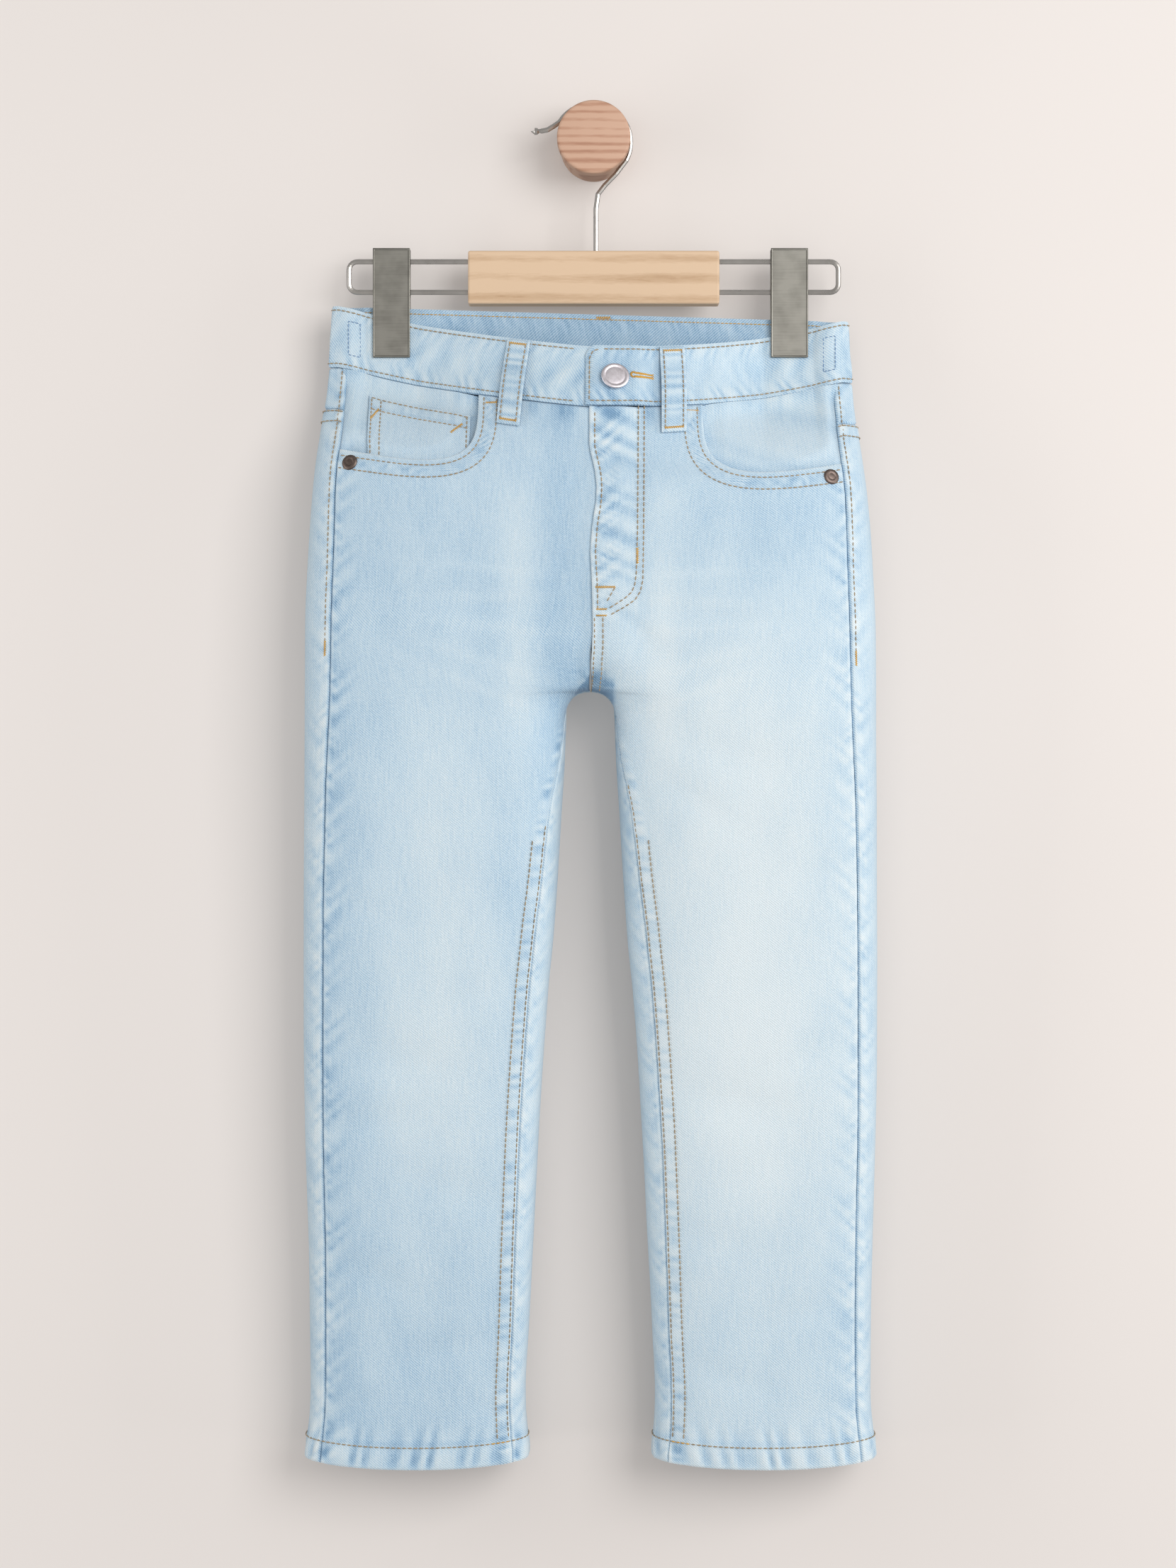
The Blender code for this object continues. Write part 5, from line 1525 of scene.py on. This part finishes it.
def tape():
    """Woven zip tape: fine cross ribs."""
    weave = Finish("zip_tape_weave")
    where = weave.place()
    ribs = weave.bands(weave.scaled(where, (1, 1, 1)), 500.0, 0.6)
    value = weave.plus(weave.noise(where, 700.0, 2.0), ribs, 0.5)
    weave.coloured(value, [(0.3, (0.16, 0.22, 0.30)), (1.0, (0.34, 0.42, 0.52))])
    return weave.done(roughness=0.8)


def wall_paint():
    """Pale wall, seen only from its front."""
    paint = Finish("backdrop_paint")
    stops = [(0.3, (0.655, 0.615, 0.590)), (0.7, (0.685, 0.645, 0.620))]
    colour = paint.coloured(paint.noise(paint.place(), 1.4, 2.0), stops)
    paint.links.new(colour, paint.shader.inputs["Emission Color"])
    clear = paint.add("ShaderNodeBsdfTransparent").outputs["BSDF"]
    behind = paint.add("ShaderNodeNewGeometry").outputs["Backfacing"]
    mixed = paint.add("ShaderNodeMixShader", {"Fac": behind, 1: paint.shader.outputs["BSDF"], 2: clear})
    paint.links.new(mixed.outputs["Shader"], paint.nodes["Material Output"].inputs["Surface"])
    return paint.done(emission_strength=0.17, roughness=0.95, specular_ior_level=0.1)


def turned(name, replaced, profile, sides, place, material):
    """A round piece.

    profile is (radius, height) pairs from its axis at the bottom to its axis at the top.
    """
    verts, faces = [(0, 0, profile[0][1])], []
    rings = profile[1:-1]
    for radius, height in rings:
        for k in range(sides):
            turn = 2 * math.pi * k / sides
            verts.append((radius * math.cos(turn), radius * math.sin(turn), height))
    verts.append((0, 0, profile[-1][1]))
    last, top = 1 + (len(rings) - 1) * sides, len(verts) - 1
    for k in range(sides):
        after = (k + 1) % sides
        faces.append((0, 1 + after, 1 + k))
        for low in range(1, last, sides):
            faces.append((low + k, low + after, low + sides + after, low + sides + k))
        faces.append((last + k, last + after, top))
    mesh = bpy.data.meshes.new(name)
    mesh.from_pydata([place @ (Vector(v) * MM) for v in verts], [], faces)
    smooth_by_angle(mesh, 50)
    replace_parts(placed(name, mesh, material), replaced)


def facing_out(side, x, z, lift):
    """The placement of a round piece on the front of the jeans, its axis along the cloth's normal."""
    points, normals = patch(side, np.array([[x]], float), np.array([[z]], float), FRONT)
    axis = Vector(normals[0, 0])
    turn = Vector((0, 0, 1)).rotation_difference(axis).to_matrix().to_4x4()
    return Matrix.Translation(Vector((points[0, 0] + normals[0, 0] * lift) * MM)) @ turn


def button_cap(material):
    """The button: a rolled rim round a shallow dish."""
    shank = [(0, 0), (5.0, 0), (5.2, 1.0)]
    rim = [
        (-0.5, 1.05), (-0.12, 1.35), (0, 1.7), (-0.1, 2.05), (-0.5, 2.36), (-1.2, 2.5), (-1.9, 2.44),
        (-2.3, 2.2), (-2.5, 2.1), (-2.9, 2.16), (-3.3, 2.26),
    ]
    dish = [(3.6, 2.34), (1.8, 2.4), (0, 2.42)]
    profile = shank + [(BUTTON_ACROSS / 2 + out, height) for out, height in rim] + dish
    place = facing_out(RIGHT, BUTTON_X, BUTTON_Z, BAND_PROUD + BAND_LIFT + LAP_GAP)
    turned("button_cap", "button", profile, 64, place, material)


def rivet_caps(material):
    """The rivets: a domed rim round a ring-shaped hollow."""
    rim = [(-0.1, 0), (0, 0.25), (-0.05, 0.65), (-0.35, 1.0), (-1.0, 1.42)]
    middle = [(2.6, 1.5), (2.3, 1.36), (2.0, 1.3), (1.7, 1.36), (0.9, 1.44), (0, 1.46)]
    profile = [(0, 0)] + [(RIVET_ACROSS / 2 + out, height) for out, height in rim] + middle
    for name, side in (("left", LEFT), ("right", RIGHT)):
        place = facing_out(side, RIVET_X, RIVET_Z, RIVET_LIFT)
        turned(f"rivet_{name}_cap", f"rivet_{name}", profile, 40, place, material)


def peg_form(material):
    """The peg: a neck from the wall and a disc with rounded edges."""
    neck, tall, disc = -(PEG_FACE_Y + PEG_DISC_THICK), -PEG_FACE_Y, PEG_DISC_RADIUS
    profile = [(0, 0), (PEG_NECK_RADIUS, 0), (PEG_NECK_RADIUS, neck - 0.3), (PEG_NECK_RADIUS + 0.3, neck)]
    profile += [(disc - 0.7, neck), (disc - 0.2, neck + 0.25), (disc, neck + 0.8), (disc, tall - 1.5)]
    profile += [(disc - 0.2, tall - 0.8), (disc - 0.8, tall - 0.2), (disc - 1.8, tall), (0, tall)]
    outwards_turn = Matrix.Rotation(math.pi / 2, 4, "X")
    turned("wall_peg_turned", "wall_peg", profile, 96, outwards_turn, material)


def jaw(node, towards, material):
    """A pressed plate in the place of its solid, with a raised rim on the side that it shows."""
    low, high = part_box(node)
    middle, size = (low + high) / 2, high - low
    name = f"{node}_plate"
    mesh = bpy.data.meshes.new(name)
    work = bmesh.new()
    bmesh.ops.create_cube(work, size=1)
    for vert in work.verts:
        vert.co = Vector(middle[i] + vert.co[i] * size[i] for i in range(3))
    face = max(work.faces, key=lambda f: f.normal.y * towards)
    for thickness, depth in ((1.5, 0), (0.25, -0.3)):
        bmesh.ops.inset_individual(work, faces=[face], thickness=thickness * MM, depth=depth * MM)
    work.to_mesh(mesh)
    work.free()
    obj = placed(name, mesh, material)
    rounded = obj.modifiers.new("rounded", "BEVEL")
    rounded.width = CLIP_BEVEL * MM
    rounded.segments = 3
    rounded.angle_limit = math.radians(60)
    rounded.limit_method = "ANGLE"
    smooth_by_angle(mesh, 50)
    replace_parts(obj, node)


def repaint(name, material):
    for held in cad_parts[name].material_slots:
        held.material = material


# The stage, in metres
CAMERA_PLACE = (-0.0035, -2.045, -0.3939)
CAMERA_LENS = 75.7
SENSOR_TALL = 36.0
WALL_Y = 0.0008
WALL_TOP_Z = 2.0
FLOOR_Z = -1.25
FLOOR_FRONT_Y = -3.0
STAGE_HALF_WIDE = 3.0

Lamp = namedtuple("Lamp", "name place target size power")
LAMPS = [
    Lamp("key", (1.3, -2.2, 0.35), (0, 0, -0.4), (1.5, 1.5), 37),
    Lamp("front", (-0.1, -3.3, -0.2), (0, 0, -0.4), (2.4, 2.4), 17),
    Lamp("left", (-1.6, -0.6, -0.4), (0, -0.05, -0.4), (0.7, 1.6), 10),
    Lamp("right", (1.7, -0.5, -0.4), (0, -0.05, -0.4), (0.6, 1.6), 11),
]
LAMP_COLOUR = (1.0, 0.99, 0.98)
ROOM_COLOUR = (1.0, 0.985, 0.97, 1)
ROOM_STRENGTH = 0.36


def camera():
    """The photograph's view: straight on from 2 m, level with the middle of the frame."""
    data = bpy.data.cameras.new("camera")
    data.sensor_fit = "VERTICAL"
    data.sensor_height = SENSOR_TALL
    data.lens = CAMERA_LENS
    obj = bpy.data.objects.new("camera", data)
    obj.location = CAMERA_PLACE
    obj.rotation_euler = (math.pi / 2, 0, 0)
    bpy.context.scene.collection.objects.link(obj)
    bpy.context.scene.camera = obj


def area_light(lamp):
    data = bpy.data.lights.new(lamp.name, "AREA")
    data.shape = "RECTANGLE"
    data.size, data.size_y = lamp.size
    data.energy = lamp.power
    data.color = LAMP_COLOUR
    obj = bpy.data.objects.new(lamp.name, data)
    obj.location = lamp.place
    way = Vector(lamp.target) - Vector(lamp.place)
    obj.rotation_euler = way.to_track_quat("-Z", "Y").to_euler()
    bpy.context.scene.collection.objects.link(obj)


def backdrop(name, near_edge, far_edge, material):
    """A flat sheet of the stage between two (y, z) edges. It takes light and casts none of its own."""
    corners = [(x, *near_edge) for x in (-STAGE_HALF_WIDE, STAGE_HALF_WIDE)]
    corners += [(x, *far_edge) for x in (STAGE_HALF_WIDE, -STAGE_HALF_WIDE)]
    mesh = bpy.data.meshes.new(name)
    mesh.from_pydata(corners, [], [(0, 1, 2, 3)])
    mesh.materials.append(material)
    obj = bpy.data.objects.new(name, mesh)
    bpy.context.scene.collection.objects.link(obj)
    obj.visible_shadow = obj.visible_diffuse = obj.visible_glossy = obj.visible_transmission = False
    obj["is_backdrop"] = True


def studio():
    """Soft light from the upper right and front, a weaker fill from the left, and a pale wall and floor."""
    for lamp in LAMPS:
        area_light(lamp)
    world = bpy.data.worlds.new("studio")
    world.use_nodes = True
    background = world.node_tree.nodes["Background"]
    background.inputs["Color"].default_value = ROOM_COLOUR
    background.inputs["Strength"].default_value = ROOM_STRENGTH
    bpy.context.scene.world = world
    bpy.context.scene.view_settings.view_transform = "Standard"
    paint_made = wall_paint()
    backdrop("wall", (WALL_Y, FLOOR_Z), (WALL_Y, WALL_TOP_Z), paint_made)
    backdrop("floor", (FLOOR_FRONT_Y, FLOOR_Z), (WALL_Y, FLOOR_Z), paint_made)


Loop = namedtuple("Loop", "name side face x lean wide")
LOOPS = [
    Loop("belt_loop_front_left", LEFT, FRONT, 46.0, 6.5, 13.5),
    Loop("belt_loop_front_right", RIGHT, FRONT, 49.2, 1.0, 14.8),
    Loop("belt_loop_side_left", LEFT, BACK, 96.0, 0.0, LOOP_WIDE),
    Loop("belt_loop_side_right", RIGHT, BACK, 96.0, 0.0, LOOP_WIDE),
    Loop("belt_loop_centre", RIGHT, BACK, 0.0, 0.0, LOOP_WIDE),
]


def jeans():
    cloth = denim()
    for name, side in (("left", LEFT), ("right", RIGHT)):
        front_shell(f"front_{name}", side, cloth)
        back_shell(f"back_{name}", side, cloth)
        yoke_shell(f"yoke_{name}", side, cloth)
        back_pocket_shell(f"back_pocket_{name}", side, cloth)
    facing_shell("facing_right", RIGHT, FACING_SINK, cloth)
    facing_shell("facing_left", LEFT, COIN_FACING_SINK, cloth)
    coin_shell(cloth)
    waistband_shell(cloth)
    for loop in LOOPS:
        loop_shell(loop, cloth)


def sewing():
    tan, mustard, blue = Threads(), Threads(), Threads()
    for sew in (band_stitches, fly_stitches, pocket_stitches, coin_stitches):
        sew(tan, mustard)
    for loop in LOOPS:
        loop_stitches(tan, mustard, loop)
    seam_stitches(tan, mustard)
    back_stitches(tan, mustard)
    buttonhole(mustard)
    anchor_stitches(blue)
    tan.piece("topstitches", thread("thread_tan", (0.46, 0.35, 0.22), (0.20, 0.145, 0.085)))
    mustard.piece("bartacks", thread("thread_mustard", (0.74, 0.42, 0.07), (0.46, 0.23, 0.02)))
    blue.piece("elastic_stitches", thread("thread_blue", (0.16, 0.29, 0.50), (0.08, 0.16, 0.32)))


BEECH_STOPS = [(0.30, (0.36, 0.20, 0.10)), (0.62, (0.56, 0.38, 0.235)), (1.0, (0.70, 0.51, 0.345))]
PINE_STOPS = [(0.30, (0.27, 0.12, 0.07)), (0.65, (0.46, 0.25, 0.165)), (1.0, (0.60, 0.38, 0.27))]


def hardware():
    nickel = metal("button_metal", (0.80, 0.76, 0.80), (0.52, 0.47, 0.48), 0.50, (700, 700, 700))
    bronze = metal("rivet_metal", (0.22, 0.17, 0.15), (0.09, 0.07, 0.06), 0.45, (900, 900, 900))
    plate = metal("clip_plate", (0.215, 0.208, 0.185), (0.135, 0.13, 0.115), 0.36, (40, 40, 1600))
    wire = metal("wire_plated", (0.66, 0.63, 0.59), (0.55, 0.52, 0.49), 0.28, (120, 120, 120))
    button_cap(nickel)
    rivet_caps(bronze)
    repaint("hanger_bar", wood("beech_satin", BEECH_STOPS, 26.0, (110, 1000, 1000), 0.45))
    peg_form(wood("pine_satin", PINE_STOPS, 62.0, (90, 700, 700), 0.52))
    repaint("hanger_hook", wire)
    for side in ("left", "right"):
        repaint(f"hanger_wire_{side}", wire)
        repaint(f"clip_{side}_pivot", wire)
        jaw(f"clip_{side}_front", -1, plate)
        jaw(f"clip_{side}_back", 1, plate)
    repaint("zip", tape())


def write_sizes():
    boxes = {"cad": CAD_BOX, "visual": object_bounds()}
    boxes = {name: [list(corner) for corner in box] for name, box in boxes.items()}


camera()
jeans()
sewing()
hardware()
studio()
write_sizes()
